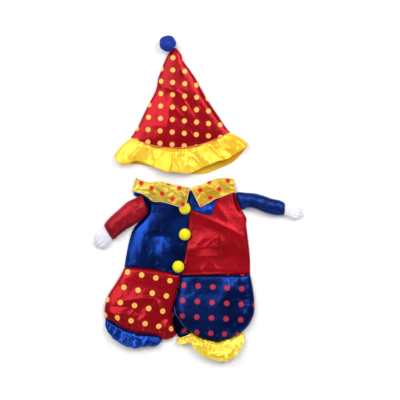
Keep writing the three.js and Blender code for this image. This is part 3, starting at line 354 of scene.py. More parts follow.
RED_SLEEVE = [
    Section("head", -86.6, 0, -80.6, -16, 0, 9),
    Section("root", -89.4, 5, -80, -23, 0, 16),
    Section("armpit", -101.4, 0.8, -90.4, -33.2, 0, 20),
    Section("upper arm", -112.6, -4.8, -102.8, -42.2, 0, 21),
    Section("elbow", -125, -16, -114.4, -49.4, 0, 20.5),
    Section("forearm", -135.4, -25, -124.6, -57.4, 0, 19.5),
    Section("wrist", -143.8, -33.4, -131.4, -63.4, 0, 17.5),
    Section("cuff", -149.6, -41, -134.8, -65, 0, 14),
]
BLUE_SLEEVE = [
    Section("head", 60.4, 7.2, 64.4, -8, 0, 9),
    Section("root", 64, 11, 71, -17, 0, 15.5),
    Section("armpit", 79, 10, 81.4, -13.8, 0, 17.5),
    Section("upper arm", 92, 8.8, 93.4, -16.2, 0, 18.5),
    Section("elbow", 106, 5, 105.4, -21.4, 0, 18.5),
    Section("forearm", 119, 0.4, 116.6, -24.6, 0, 17.5),
    Section("wrist", 130.8, -2, 128.6, -26.4, 0, 16.5),
    Section("cuff", 138.6, -5.8, 137.4, -25.6, 0, 14),
]
LEFT_GLOVE = [
    Section("inside the sleeve", -142, -39, -131.5, -60, 0, 10),
    Section("wrist", -148.6, -43.2, -135.9, -64.4, 0, 11),
    Section("heel", -154.6, -46, -140.6, -71.6, 0, 13),
    Section("palm", -161, -52, -146, -78, 0, 13),
    Section("knuckles", -165, -60.4, -152.6, -79.4, 0, 11.5),
    Section("fingertips", -166.3, -67.6, -159, -76.4, 0, 7),
]
RIGHT_GLOVE = [
    Section("inside the sleeve", 132, -8, 131.5, -24.6, 0, 10),
    Section("wrist", 138.8, -6.8, 137.7, -25.4, 0, 11),
    Section("heel", 146, -6, 144.6, -28, 0, 13),
    Section("palm", 155, -7.6, 152, -31.6, 0, 13),
    Section("knuckles", 163.6, -13.6, 159.6, -32.2, 0, 11),
    Section("fingertips", 168.4, -20.6, 165.4, -28.6, 0, 7),
]
RED_SLEEVE_FOLDS = [Fold(*row) for row in (
    (-104, -8, -92, -30, -1.2, 3.5), (-122, -20, -112, -46, 1.0, 4),
    (-98, -6, -88, -24, 0.9, 2.2, 2, 1.4), (-112, -12, -106, -34, 0.6, 2.4, -2, 1.5),
    (-134, -32, -126, -54, -0.6, 3, 1, 1.6), (-142, -42, -134, -58, 0.5, 2.4, 0, 1.5),
)]
BLUE_SLEEVE_FOLDS = [Fold(*row) for row in (
    (80, 6, 83, -14, -1.6, 3.5, 1), (105, 2, 106, -22, -1.0, 3.5, 1),
    (74, 8, 78, -12, 0.8, 2.4, 2, 1.4), (88, 4, 98, -14, 0.6, 3, 2, 1.5),
    (116, -2, 112, -22, 0.6, 3, -1, 1.5), (126, -6, 126, -24, -0.6, 2.4, 1, 1.5),
)]
FINGER_FOLDS = [Fold(*row) for row in (
    (-158, -58, -168, -68, -1.4, 1.6), (-153, -62, -164, -73, -1.4, 1.6),
    (-149, -67, -159, -78, -1.4, 1.6), (152, -15, 166, -20, -1.4, 1.6),
    (151, -20, 167, -25, -1.4, 1.6), (150, -25, 164, -30, -1.4, 1.6),
)]

BUTTONS = {"button_1": (-20.4, -15.4), "button_2": (-20.5, -56.8), "button_3": (-31.0, -108.0)}

# ---------------------------------------------------------------- form of the solids
SATIN = 1.4
LAYER_GAP = 0.4
BODY_CROWN = 5.6
BODY_CROWN_POWER = 2.6
FRONT_FLOOR = SATIN + LAYER_GAP + SATIN
TUBE_ROUNDNESS = 2.3
STUFFED_ROUNDNESS = 2.1
FRILL_ROUNDNESS = 6.0
FLAT_SHARE = 0.55
UNDER_FLAP_WIDTH = 0.1
FRILL_SIDE = 3.2
FRILL_GAP = 0.9
COLLAR_BUTTON_LIFT = 15.4
COLLAR_LIFT_REACH = 14.0
# walls of the cloth, thinner than those of the solids
CLOTH_WALL = 0.55
COLLAR_WALL = 1.1
BACK_WALL = 0.8
PETAL_WALL = 0.8
# how near two points of a cloth are joined, and the shapes of its ends
WELD_REACH = 0.005
TUBE_SIDE_SHARE = 0.45  # the most of a tube's height that its side takes
PANEL_LENGTH = 100.0  # a panel's or leg's length, for the width of the dips at its ends
END_DIP_WIDTH = 1.6


# ================================================================ curves and folds


def smoothed(values: Sequence[float], fractions: np.ndarray) -> np.ndarray:
    """A table's column read at fractions of the way down it.

    Args:
        values: The column.
        fractions: Where to read it, 0 at the first row and 1 at the last.

    Returns:
        The smooth values, in the shape of fractions.
    """
    column = np.asarray(values, float)
    last = len(column) - 1
    place = np.clip(fractions, 0, 1) * last
    row = np.minimum(place.astype(int), last - 1)
    t = place - row

    def at(index: np.ndarray) -> np.ndarray:
        return column[np.clip(index, 0, last)]

    before = (at(row + 1) - at(row - 1)) / 2
    after = (at(row + 2) - at(row)) / 2
    t2, t3 = t * t, t * t * t
    start, end = 2 * t3 - 3 * t2 + 1, 3 * t2 - 2 * t3
    return at(row) * start + before * (t3 - 2 * t2 + t) + at(row + 1) * end + after * (t3 - t2)


def mixed(a: Any, b: Any, share: Any) -> Any:
    """The value a share of the way from a to b."""
    return a + (b - a) * share


def eased(value: np.ndarray, low: float, high: float) -> np.ndarray:
    """0 up to low, 1 from high, and a smooth step between."""
    t = np.clip((value - low) / (high - low), 0, 1)
    return t * t * (3 - 2 * t)


def bell(offset: np.ndarray, power: float = 2.0) -> np.ndarray:
    """A bump of height 1 that fades within about two widths."""
    return np.exp(-np.abs(offset) ** power)


def unit(vectors: np.ndarray) -> np.ndarray:
    """The vectors at a length of 1."""
    return vectors / np.maximum(np.linalg.norm(vectors, axis=-1, keepdims=True), 1e-9)


def run_along(path: np.ndarray) -> np.ndarray:
    """How far along a path each of its points is."""
    return np.concatenate([[0], np.cumsum(np.linalg.norm(np.diff(path, axis=0), axis=1))])


def columns_of(rows: Sequence[Any], down: np.ndarray) -> dict[str, np.ndarray]:
    """Every column of a table but its first, by name, at fractions of the way down it."""
    return {name: smoothed([getattr(row, name) for row in rows], down) for name in rows[0]._fields[1:]}


def line_through(places: Sequence[Place]) -> Callable[[np.ndarray], np.ndarray]:
    """A smooth line through places.

    Args:
        places: Points in millimetres.

    Returns:
        A function from shares of the line's length to its points.
    """
    steps = 40
    known = np.asarray(places, float)
    known = np.vstack([2 * known[0] - known[1], known, 2 * known[-1] - known[-2]])
    path = []
    for index in range(1, len(known) - 2):
        p0, p1, p2, p3 = known[index - 1 : index + 3]
        d0, d1, d2 = (max(np.linalg.norm(q - p), 1e-6) ** 0.5 for p, q in ((p0, p1), (p1, p2), (p2, p3)))
        t1 = ((p1 - p0) / d0 - (p2 - p0) / (d0 + d1) + (p2 - p1) / d1) * d1
        t2 = ((p2 - p1) / d1 - (p3 - p1) / (d1 + d2) + (p3 - p2) / d2) * d1
        t = (np.arange(steps) / steps)[:, None]
        start, end = 2 * t**3 - 3 * t**2 + 1, 3 * t**2 - 2 * t**3
        path.append(p1 * start + t1 * (t**3 - 2 * t**2 + t) + p2 * end + t2 * (t**3 - t**2))
    line = np.vstack([*path, known[-2][None]])
    run = run_along(line)

    def place(shares: np.ndarray) -> np.ndarray:
        at = np.clip(shares, 0, 1) * run[-1]
        return np.stack([np.interp(at, run, line[:, k]) for k in (0, 1)], axis=-1)

    return place


def fold_height(folds: Sequence[Fold], x: np.ndarray, y: np.ndarray) -> np.ndarray:
    """The sum of the folds at each point."""
    total = np.zeros_like(x)
    for fold in folds:
        run_x, run_y = fold.x1 - fold.x0, fold.y1 - fold.y0
        length = math.hypot(run_x, run_y)
        share = ((x - fold.x0) * run_x + (y - fold.y0) * run_y) / length**2
        nearest = np.clip(share, 0, 1)
        aside = ((y - fold.y0) * run_x - (x - fold.x0) * run_y) / length
        aside = aside - fold.bow * 4 * nearest * (1 - nearest)
        away = np.hypot(aside, (share - nearest) * length)
        taper = 0.35 + 0.65 * np.sin(np.pi * nearest)
        total += fold.height * taper * bell(away / fold.width, fold.edge)
    return total


@dataclass(frozen=True)
class Scatter:
    """Small creases strewn over a piece, uneven in place, length, depth and direction."""

    count: int
    low: Place
    high: Place
    direction: float = 0.0
    spread: float = 90.0
    length: tuple[float, float] = (8.0, 22.0)
    height: tuple[float, float] = (-0.35, 0.45)
    width: tuple[float, float] = (1.4, 3.2)

    def folds(self, rng: np.random.Generator) -> list[Fold]:
        """The creases, drawn from rng."""
        made = []
        for _ in range(self.count):
            x, y = rng.uniform(self.low, self.high)
            turn = math.radians(self.direction + rng.uniform(-self.spread, self.spread))
            reach = rng.uniform(*self.length) / 2
            run_x, run_y = reach * math.cos(turn), reach * math.sin(turn)
            height, width = rng.uniform(*self.height), rng.uniform(*self.width)
            bow, edge = rng.uniform(-0.15, 0.15) * reach * 2, rng.uniform(1.2, 1.8)
            made.append(Fold(x - run_x, y - run_y, x + run_x, y + run_y, height, width, bow, edge))
        return made


# ================================================================ meshes


@dataclass
class Cloth:
    """A grid of cloth in millimetres, with the place of each point on the flat cloth."""

    points: np.ndarray
    flat: np.ndarray
    is_tube: bool = False

    def faces(self) -> np.ndarray:
        """The grid's quads, as indices of its points."""
        rows, columns = self.points.shape[:2]
        steps = columns if self.is_tube else columns - 1
        row, column = np.meshgrid(np.arange(rows - 1), np.arange(steps), indexing="ij")
        beside = (column + 1) % columns
        corners = [row * columns + column, row * columns + beside]
        corners += [(row + 1) * columns + beside, (row + 1) * columns + column]
        return np.stack(corners, axis=-1).reshape(-1, 4)

    def corner_places(self) -> np.ndarray:
        """The flat place of each corner of each quad, in metres."""
        columns = self.points.shape[1]
        steps = columns if self.is_tube else columns - 1
        flat = self.flat
        quads = [flat[:-1, :steps], flat[:-1, 1 : steps + 1], flat[1:, 1 : steps + 1], flat[1:, :steps]]
        return np.stack(quads, axis=2).reshape(-1, 2) * MM


def unrolled(points: np.ndarray, left: int, right: int) -> np.ndarray:
    """The flat place of each point of a tube, unrolled from the middle of its upper layer.

    Args:
        points: Rings that start at the middle of the under layer.
        left: The column of the tube's left edge.
        right: The column of its right edge.

    Returns:
        Places for one column more than points has, where the under seam is.
    """
    looped = np.concatenate([points, points[:, :1]], axis=1)
    across = unit(looped[:, right, :2] - looped[:, left, :2])
    aside = np.stack([-across[:, 1], across[:, 0]], axis=1)
    steps = np.diff(looped, axis=1)
    run = np.einsum("rcd,rd->rc", steps[..., :2], across)
    step = np.hypot(run, steps[..., 2])
    total = np.concatenate([np.zeros((len(points), 1)), np.cumsum(step, axis=1)], axis=1)
    middle = (left + right) // 2
    total -= total[:, middle : middle + 1]
    centre = looped[:, middle : middle + 1, :2]
    offset = np.einsum("rcd,rd->rc", looped[..., :2] - centre, aside)
    return centre + total[..., None] * across[:, None] + offset[..., None] * aside[:, None]


def mesh_object(
    name: str, verts: Any, faces: Any, material: bpy.types.Material
) -> bpy.types.Object:
    """A smooth-shaded object from points in millimetres."""
    mesh = bpy.data.meshes.new(name)
    mesh.from_pydata((np.asarray(verts) * MM).tolist(), [], [list(map(int, f)) for f in faces])
    mesh.polygons.foreach_set("use_smooth", np.ones(len(mesh.polygons), bool))
    mesh.materials.append(material)
    mesh.validate()
    mesh.update()
    made = bpy.data.objects.new(name, mesh)
    bpy.context.scene.collection.objects.link(made)
    return made


def cloth_object(
    name: str, cloth: Cloth, material: bpy.types.Material, wall: float = CLOTH_WALL
) -> bpy.types.Object:
    """A piece of cloth with its wall turned inwards and its flat places as a UV map."""
    faces, corners = cloth.faces(), cloth.corner_places()
    rows, columns = cloth.points.shape[:2]
    flat_points = cloth.points.reshape(-1, 3)
    middle = int(np.argmax(cloth.points[rows // 2, :, 2]))
    quad = faces[(rows // 2) * (len(faces) // (rows - 1)) + min(middle, columns - 2)]
    a, b, c = flat_points[quad[0]], flat_points[quad[1]], flat_points[quad[2]]
    if np.cross(b - a, c - a)[2] < 0:
        faces = faces[:, ::-1]
        corners = corners.reshape(-1, 4, 2)[:, ::-1].reshape(-1, 2)
    made = mesh_object(name, flat_points, faces, material)
    layer = made.data.uv_layers.new(name=CLOTH_MAP)
    layer.data.foreach_set("uv", corners.astype(np.float32).ravel())
    joined = made.modifiers.new("joined points", "WELD")
    joined.merge_threshold = WELD_REACH * MM
    if wall:
        solid = made.modifiers.new("wall", "SOLIDIFY")
        solid.thickness = wall * MM
        solid.offset = -1
        solid.use_even_offset = False
    return made


def spokes(level: np.ndarray, upright: np.ndarray, sides: int) -> np.ndarray:
    """Directions all round, in the plane of each pair of level and upright."""
    turns = 2 * np.pi * np.arange(sides) / sides
    return level[:, None] * np.cos(turns)[None, :, None] + upright[:, None] * np.sin(turns)[None, :, None]


def band(here: int, after: int, sides: int) -> list[list[int]]:
    """The quads between two rings of points, given by the number of each ring's first point."""
    beside = [(side + 1) % sides for side in range(sides)]
    return [[here + side, here + b, after + b, after + side] for side, b in enumerate(beside)]


def rope(
    name: str, path: np.ndarray, radius: float, material: bpy.types.Material, sides: int = 6,
    closed: bool = False,
) -> bpy.types.Object:
    """A thin tube along a path, such as a rolled hem.

    Args:
        name: The object's name.
        path: Its centre line in millimetres.
        radius: Its radius in millimetres.
        material: Its finish.
        sides: How many sides it has.
        closed: Whether its end joins its start.

    Returns:
        The object.
    """
    count = len(path)
    if closed:
        along = np.roll(path, -1, axis=0) - np.roll(path, 1, axis=0)
    else:
        along = np.gradient(path, axis=0)
    along = unit(along)
    level = unit(np.cross(along, [0.0, 0.0, 1.0]))
    verts = (path[:, None] + radius * spokes(level, np.cross(level, along), sides)).reshape(-1, 3)
    faces: list[list[int]] = []
    for index in range(count if closed else count - 1):
        faces += band(index * sides, (index + 1) % count * sides, sides)
    if not closed:
        faces.append(list(range(sides)))
        faces.append([(count - 1) * sides + side for side in reversed(range(sides))])
    return mesh_object(name, verts, faces, material)


def stitches(
    name: str, path: np.ndarray, material: bpy.types.Material, length: float = 2.2, gap: float = 0.9,
    radius: float = 0.22,
) -> bpy.types.Object:
    """A row of machine stitches along a path on a piece of cloth.

    Args:
        name: The object's name.
        path: The row's line in millimetres, on the cloth's surface.
        material: The thread's finish.
        length: Each stitch's length in millimetres.
        gap: The cloth between two stitches.
        radius: The thread's radius.

    Returns:
        One object that holds every stitch.
    """
    run = run_along(path)
    profile = [(0.0, 0.2, -0.7), (0.18, 0.8, 0.3), (0.5, 1.0, 0.75), (0.82, 0.8, 0.3), (1.0, 0.2, -0.7)]
    verts: list[np.ndarray] = []
    faces: list[list[int]] = []
    sides = 5
    turns = 2 * np.pi * np.arange(sides) / sides
    start = gap
    while start + length < run[-1]:
        ends = [np.array([np.interp(start + length * k, run, path[:, d]) for d in range(3)]) for k in (0, 1)]
        along = unit(ends[1] - ends[0])
        level = unit(np.cross(along, [0, 0, 1.0]))
        upright = np.cross(level, along)
        base = len(verts) * sides
        for share, thick, lift in profile:
            centre = mixed(ends[0], ends[1], share) + upright * radius * lift
            ring = [centre + radius * thick * (level * math.cos(t) + upright * math.sin(t)) for t in turns]
            verts.append(np.array(ring))
        for ring_index in range(len(profile) - 1):
            faces += band(base + ring_index * sides, base + (ring_index + 1) * sides, sides)
        faces.append([base + side for side in range(sides)])
        faces.append([base + (len(profile) - 1) * sides + side for side in reversed(range(sides))])
        start += length + gap
    return mesh_object(name, np.concatenate(verts), faces, material)


# ================================================================ shader maths


class Wire:
    """A socket whose operators add Math nodes, so that shader maths reads as Python."""

    def __init__(self, shader: Shader, socket: bpy.types.NodeSocket) -> None:
        """Keeps the shader that the socket belongs to."""
        self.shader = shader
        self.socket = socket

    def maths(self, operation: str, *others: Value) -> Wire:
        """A Math node of this socket and others."""
        values = {index: value for index, value in enumerate((self, *others))}
        return self.shader.node("ShaderNodeMath", {"operation": operation}, values)

    def __add__(self, other: Value) -> Wire:
        """self + other."""
        return self.maths("ADD", other)

    __radd__ = __add__

    def __sub__(self, other: Value) -> Wire:
        """self - other."""
        return self.maths("SUBTRACT", other)

    def __rsub__(self, other: Value) -> Wire:
        """other - self."""
        return self.shader.node("ShaderNodeMath", {"operation": "SUBTRACT"}, {0: other, 1: self})

    def __mul__(self, other: Value) -> Wire:
        """self * other."""
        return self.maths("MULTIPLY", other)

    __rmul__ = __mul__

    def __truediv__(self, other: Value) -> Wire:
        """self / other."""
        return self.maths("DIVIDE", other)

    def sine(self) -> Wire:
        """The sine of the value."""
        return self.maths("SINE")

    def nearest(self) -> Wire:
        """The nearest whole number."""
        return self.maths("ROUND")

    def size(self) -> Wire:
        """The value without its sign."""
        return self.maths("ABSOLUTE")

    def stepped(self, low: float, high: float) -> Wire:
        """0 below low, 1 above high, and a smooth step between; low may be the larger."""
        settings = {"interpolation_type": "SMOOTHSTEP"}
        return self.shader.node("ShaderNodeMapRange", settings, {"Value": self, 1: low, 2: high})


Value = Union[Wire, float]


class Shader:
    """A material that is built node by node."""

    def __init__(self, name: str) -> None:
        """Makes an empty material."""
        self.material = bpy.data.materials.new(name)
        self.material.use_nodes = True
        self.tree = self.material.node_tree
        self.tree.nodes.clear()

    def node(
        self, kind: str, settings: dict[str, Any] | None = None, inputs: dict[Any, Any] | None = None,
        output: int | str = 0,
    ) -> Wire:
        """Adds one node.

        Args:
            kind: The node's type.
            settings: What is set on the node before its sockets.
            inputs: Values or wires of its sockets, by name or number.
            output: The socket that is wanted of it.

        Returns:
            That output, or the first input of a node that has no output.
        """
        made = self.tree.nodes.new(kind)
        for name, value in (settings or {}).items():
            setattr(made, name, value)
        for name, value in (inputs or {}).items():
            if isinstance(value, Wire):
                self.tree.links.new(value.socket, made.inputs[name])
            else:
                made.inputs[name].default_value = value
        return Wire(self, made.outputs[output] if made.outputs else made.inputs[0])

    def here(self) -> Wire:
        """The place in the object."""
        return self.node("ShaderNodeTexCoord", {}, {}, "Object")

    def flat_place(self) -> Wire:
        """The place on the flat cloth."""
        return self.node("ShaderNodeUVMap", {"uv_map": CLOTH_MAP})

    def blended(self, factor: Value, first: Any, second: Any) -> Wire:
        """A colour between first and second; a plain colour is given as three numbers."""
        ends = {6: first, 7: second}
        ends = {key: (*value, 1.0) if isinstance(value, tuple) else value for key, value in ends.items()}
        return self.node("ShaderNodeMix", {"data_type": "RGBA"}, {0: factor, **ends}, 2)

    def noise(self, where: Wire, scale: float, detail: float = 2.0, roughness: float = 0.5) -> Wire:
        """Noise of a scale in cells for each metre."""
        values = {"Vector": where, "Scale": scale, "Detail": detail, "Roughness": roughness}
        return self.node("ShaderNodeTexNoise", {}, values, "Fac")

    def spread(self, where: Wire, stretch: Colour) -> Wire:
        """Coordinates multiplied along each axis."""
        return self.node("ShaderNodeVectorMath", {"operation": "MULTIPLY"}, {0: where, 1: stretch})

    def axes(self, where: Wire) -> tuple[Wire, Wire]:
        """The first two parts of a vector."""
        parts = self.node("ShaderNodeSeparateXYZ", {}, {0: where})
        return parts, Wire(self, parts.socket.node.outputs[1])

    def bumped(self, height: Wire, distance: float, strength: float = 1.0, under: Wire | None = None) -> Wire:
        """A normal with a height in metres of distance laid over under."""
        values: dict[Any, Any] = {"Height": height, "Distance": distance, "Strength": strength}
        if under is not None:
            values["Normal"] = under
        return self.node("ShaderNodeBump", {}, values)

    def finish(self, sockets: dict[str, Any]) -> bpy.types.Material:
        """Closes the material with one Principled shader."""
        surface = self.node("ShaderNodeBsdfPrincipled", {}, sockets)
        self.node("ShaderNodeOutputMaterial", {}, {"Surface": surface})
        return self.material


# ================================================================ finishes

CLOTH_MAP = "flat_cloth"
FULL_TURN = 2 * math.pi
WEFT_PITCH, WARP_PITCH = 0.42 * MM, 0.9 * MM
WALE_PITCH, COURSE_PITCH = 0.9 * MM, 0.75 * MM


class Thread(Enum):
    """Colours of the sewing thread and piping. The sky blue also colours the blue leg's welt, lighter than
    the leg: a painted highlight.
    """

    CREAM = srgb(250, 232, 150)
    SKY_AND_HIGHLIGHT = srgb(60, 100, 190)
    CORAL = srgb(238, 140, 100)


@dataclass(frozen=True)
class Dots:
    """Printed dots on a slanting lattice, in millimetres on the flat cloth."""

    first: Place
    across: Place
    down: Place
    radius: float
    middle: Colour
    body: Colour
    rim: Colour

    def printed(self, shader: Shader, place: Wire, ground: Wire) -> tuple[Wire, Wire]:
        """The cloth's colour with its dots.

        Args:
            shader: The shader to build in.
            place: The flat place, in metres.
            ground: The colour between the dots.

        Returns:
            The colour, and how far each point is inside a dot.
        """
        x, y = shader.axes(place)
        dx, dy = x / MM - self.first[0], y / MM - self.first[1]
        spread = self.across[0] * self.down[1] - self.across[1] * self.down[0]
        column = (dx * self.down[1] - dy * self.down[0]) * (1 / spread)
        row = (dy * self.across[0] - dx * self.across[1]) * (1 / spread)
        part_column, part_row = column - column.nearest(), row - row.nearest()
        off_x = part_column * self.across[0] + part_row * self.down[0]
        off_y = part_column * self.across[1] + part_row * self.down[1]
        away = (off_x * off_x + off_y * off_y).maths("SQRT")
        bleed = 0.3
        inside = away.stepped(self.radius + bleed, self.radius - bleed)
        ink = shader.blended(away.stepped(self.radius - 0.1, self.radius - 1.5), self.rim, self.body)
        ink = shader.blended(away.stepped(self.radius * 0.6, self.radius * 0.25), ink, self.middle)
        return shader.blended(inside, ground, ink), inside


@dataclass(frozen=True)
class Satin:
    """Polyester satin: a fine weave with a coloured sheen, printed with dots or plain."""

    name: str
    bright: Colour
    deep: Colour
    metallic: float
    roughness: float = 0.3
    sheen: float = 0.06
    crinkle: float = 0.5
    dots: Dots | None = None

    def make(self) -> bpy.types.Material:
        """Builds the material."""
        shader = Shader(self.name)
        here = shader.here()
        place = shader.flat_place()
        soft = shader.noise(here, 22.0, 2.0)
        fine = shader.noise(shader.spread(place, (900.0, 2600.0, 1.0)), 1.0, 2.0, 0.6)
        colour = shader.blended(soft.stepped(0.3, 0.75), self.deep, self.bright)
        colour = shader.blended((fine - 0.5).size() * 0.35, colour, self.deep)
        metallic: Value = self.metallic
        rough = self.roughness + (soft - 0.5) * 0.12 + (fine - 0.5) * 0.1
        if self.dots:
            colour, inside = self.dots.printed(shader, place, colour)
            metallic = self.metallic * (1 - inside * 0.8)
            rough = rough + inside * 0.14
        u, v = shader.axes(place)
        weft = (u * (FULL_TURN / WEFT_PITCH)).sine()
        threads = weft * (v * (FULL_TURN / WARP_PITCH) + u * 2400.0).sine()
        weave = shader.bumped(threads, 0.012 * MM, 0.6)
        ripple = shader.noise(shader.spread(here, (1.0, 0.7, 1.0)), 95.0, 3.0, 0.55)
        normal = shader.bumped(ripple, 1.1 * MM, self.crinkle, weave)
        return shader.finish({
            "Base Color": colour, "Metallic": metallic, "Roughness": rough, "Normal": normal,
            "Sheen Weight": self.sheen, "Sheen Roughness": 0.45, "Sheen Tint": (*self.bright, 1.0),
            "Specular IOR Level": 0.22,
        })


@dataclass(frozen=True)
class Jersey:
    """Brushed white jersey with fine ribs of knitted loops."""

    name: str
    bright: Colour
    shade: Colour

    def make(self) -> bpy.types.Material:
        """Builds the material."""
        shader = Shader(self.name)
        here = shader.here()
        place = shader.flat_place()
        u, v = shader.axes(place)
        wale = (u * (FULL_TURN / WALE_PITCH)).sine()
        loop = (v * (FULL_TURN / COURSE_PITCH) + wale * 1.2).sine()
        nap = shader.noise(here, 1400.0, 3.0, 0.65)
        cloud = shader.noise(here, 60.0, 2.0)
        colour = shader.blended(cloud.stepped(0.35, 0.7), self.shade, self.bright)
        colour = shader.blended((nap - 0.4) * 0.35, colour, self.shade)
        knit = shader.bumped(wale * loop, 0.05 * MM, 0.6)
        normal = shader.bumped(nap, 0.18 * MM, 0.7, knit)
        return shader.finish({
            "Base Color": colour, "Roughness": 0.86 + (nap - 0.5) * 0.1, "Normal": normal,
            "Sheen Weight": 0.35, "Sheen Roughness": 0.5,
        })


@dataclass(frozen=True)
class Pile:
    """Short dense pile, with painted shade: its colour darkens deep in the pile, near the core, between its
    tufts.
    """

    name: str
    tip: Colour
    root: Colour
    centre: Colour
    half: Colour

    def make(self) -> bpy.types.Material:
        """Builds the material."""
        shader = Shader(self.name)
        here = shader.here()
        offset = shader.node("ShaderNodeVectorMath", {"operation": "SUBTRACT"}, {0: here, 1: self.centre})
        shares = shader.node("ShaderNodeVectorMath", {"operation": "DIVIDE"}, {0: offset, 1: self.half})
        away = shader.node("ShaderNodeVectorMath", {"operation": "LENGTH"}, {0: shares}, "Value")
        # depth is 0 deep in the pile and 1 at its outside; root is the tip colour darkened there, a painted
        # shade between the tufts, and the flecks below mix in the same darker colour
        depth = away.stepped(0.78, 0.95)
        fleck = shader.noise(here, 900.0, 2.0, 0.6)
        colour = shader.blended(depth, self.root, self.tip)
        colour = shader.blended((fleck - 0.45) * 0.5, colour, self.root)
        normal = shader.bumped(shader.noise(here, 2200.0, 2.0, 0.7), 0.25 * MM, 0.6)
        return shader.finish({
            "Base Color": colour, "Roughness": 0.92 - fleck * 0.08, "Normal": normal,
            "Sheen Weight": 0.5, "Sheen Roughness": 0.55, "Sheen Tint": (*self.tip, 1.0),
        })


@dataclass(frozen=True)
class Sewing:
    """Twisted sewing thread."""

    name: str
    colour: Colour

    def make(self) -> bpy.types.Material:
        """Builds the material."""
        shader = Shader(self.name)
        here = shader.here()
        twist = shader.noise(shader.spread(here, (1.0, 1.0, 1.6)), 2600.0, 2.0, 0.6)
        shade = tuple(part * 0.6 for part in self.colour)
        colour = shader.blended(twist.stepped(0.35, 0.65), shade, self.colour)
        normal = shader.bumped(twist, 0.06 * MM, 0.8)
        return shader.finish({"Base Color": colour, "Roughness": 0.55 + twist * 0.1, "Normal": normal})


@dataclass(frozen=True)
class Backdrop:
    """Plain pale paper."""

    name: str
    colour: Colour

    def make(self) -> bpy.types.Material:
        """Builds the material."""
        shader = Shader(self.name)
        here = shader.here()
        grain = shader.noise(here, 40.0, 2.0)
        darker = tuple(part * 0.985 for part in self.colour)
        return shader.finish({"Base Color": shader.blended(grain, self.colour, darker), "Roughness": 0.9})


RED = srgb(173, 4, 26), srgb(146, 3, 15)
DULL_RED = srgb(168, 14, 36), srgb(134, 8, 22)
BLUE = srgb(20, 46, 116), srgb(11, 27, 80)
FRONT_BLUE = srgb(24, 68, 166), srgb(9, 28, 80)
# A lighter copy of the front's blue satin, for the blue cuff: painted light on its gathers.
PAINTED_LIT_BLUE = srgb(38, 92, 200), srgb(18, 52, 140)
DULL_BLUE = srgb(18, 46, 120), srgb(11, 30, 86)
YELLOW = srgb(250, 212, 70), srgb(238, 176, 28)
PALE_YELLOW = srgb(250, 230, 94), srgb(240, 206, 58)
LEMON = srgb(226, 204, 82), srgb(174, 140, 38)
GOLD = srgb(235, 199, 70), srgb(192, 142, 32)


class Cloths:
    """Every finish of the costume, made once."""

    def __init__(self) -> None:
        """Builds the materials."""
        on_red = (srgb(244, 160, 52), srgb(255, 202, 104), srgb(176, 84, 22))
        on_hat = (srgb(252, 184, 98), srgb(255, 186, 92), srgb(176, 76, 26))
        on_lemon = (srgb(176, 30, 4), srgb(200, 48, 8), srgb(226, 120, 40))
        on_blue = (srgb(206, 34, 48), srgb(178, 38, 66), srgb(112, 40, 92))
        self.red = Satin("satin_red", *RED, 0.45, 0.23).make()
        self.blue = Satin("satin_blue", *FRONT_BLUE, 0.9, 0.23).make()
        # The cuff's lighter copy of the blue satin is painted light.
        self.painted_lit_blue = Satin("satin_blue_painted_lit", *PAINTED_LIT_BLUE, 0.85, 0.25).make()
        self.yellow = Satin("satin_yellow", *YELLOW, 0.3, 0.25).make()
        self.pale_yellow = Satin("satin_yellow_cuff", *PALE_YELLOW, 0.3, 0.25).make()
        self.red_matt = Satin("satin_red_brushed", *DULL_RED, 0.4, 0.36, 0.2, 0.5).make()
        self.blue_matt = Satin("satin_blue_brushed", *DULL_BLUE, 0.75, 0.34, 0.2, 0.5).make()
        dots = Dots((-89.2, -121.1), (22.6, -4.6), (-5.6, -24.2), 4.7, *on_red)
        self.leg_red = Satin("satin_red_dotted", *RED, 0.45, 0.23, dots=dots).make()
        dots = Dots((24.1, -140.0), (23.3, -1.44), (-1.1, -24.6), 4.7, *on_blue)
        self.leg_blue = Satin("satin_blue_dotted", *BLUE, 0.9, 0.23, dots=dots).make()
        dots = Dots((-39.9, 166.0), (19.3, -2.0), (-0.2, -19.8), 4.5, *on_hat)
        self.hat = Satin("satin_red_hat", *RED, 0.45, 0.23, dots=dots).make()
        dots = Dots((-90.0, 25.3), (16.6, -8.4), (-11.0, -17.3), 4.4, *on_lemon)
        self.collar_left = Satin("satin_lemon_left", *LEMON, 0.32, 0.25, crinkle=0.9, dots=dots).make()
        dots = Dots((4.1, 13.9), (16.0, -12.0), (-14.1, -13.6), 4.4, *on_lemon)
        self.collar_right = Satin("satin_lemon_right", *GOLD, 0.32, 0.25, crinkle=0.9, dots=dots).make()
        self.white = Jersey("jersey_white", srgb(242, 242, 249), srgb(216, 216, 230)).make()
        self.threads = {
            thread: Sewing(f"thread_{thread.name.lower()}", thread.value).make() for thread in Thread
        }


def placed(piece: bpy.types.Object, slot: str, *nodes: str) -> bpy.types.Object:
    """Sets a piece on the costume's body, in place of nodes."""
    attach(piece, BODY)
    if nodes:
        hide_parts(*nodes)
    return piece


def told(piece: bpy.types.Object) -> None:
    """Reports a piece that is made, and the area of its own mesh."""
    area = sum(face.area for face in piece.data.polygons) * CM2
    LOG.info("%s: %d faces, %.1f cm2", piece.name, len(piece.data.polygons), area)


def sewn(
    node: str, slot: str, cloth: Cloth, material: bpy.types.Material, wall: float = CLOTH_WALL
) -> bpy.types.Object:
    """A node's satin, placed on the costume's body in place of the node."""
    made = placed(cloth_object(f"{node}_satin", cloth, material, wall), slot, node)
    told(made)
    return made


def laid(points: np.ndarray) -> Cloth:
    """A flat piece of cloth, whose flat places are where it lies."""
    return Cloth(points, points[..., :2])


# ================================================================ bodice


def outer_edge(half: Sequence[Half], y: np.ndarray) -> np.ndarray:
    """The x of a half's outer edge at heights y."""
    return np.interp(-y, [-row.outer_y for row in half], [row.outer_x for row in half])


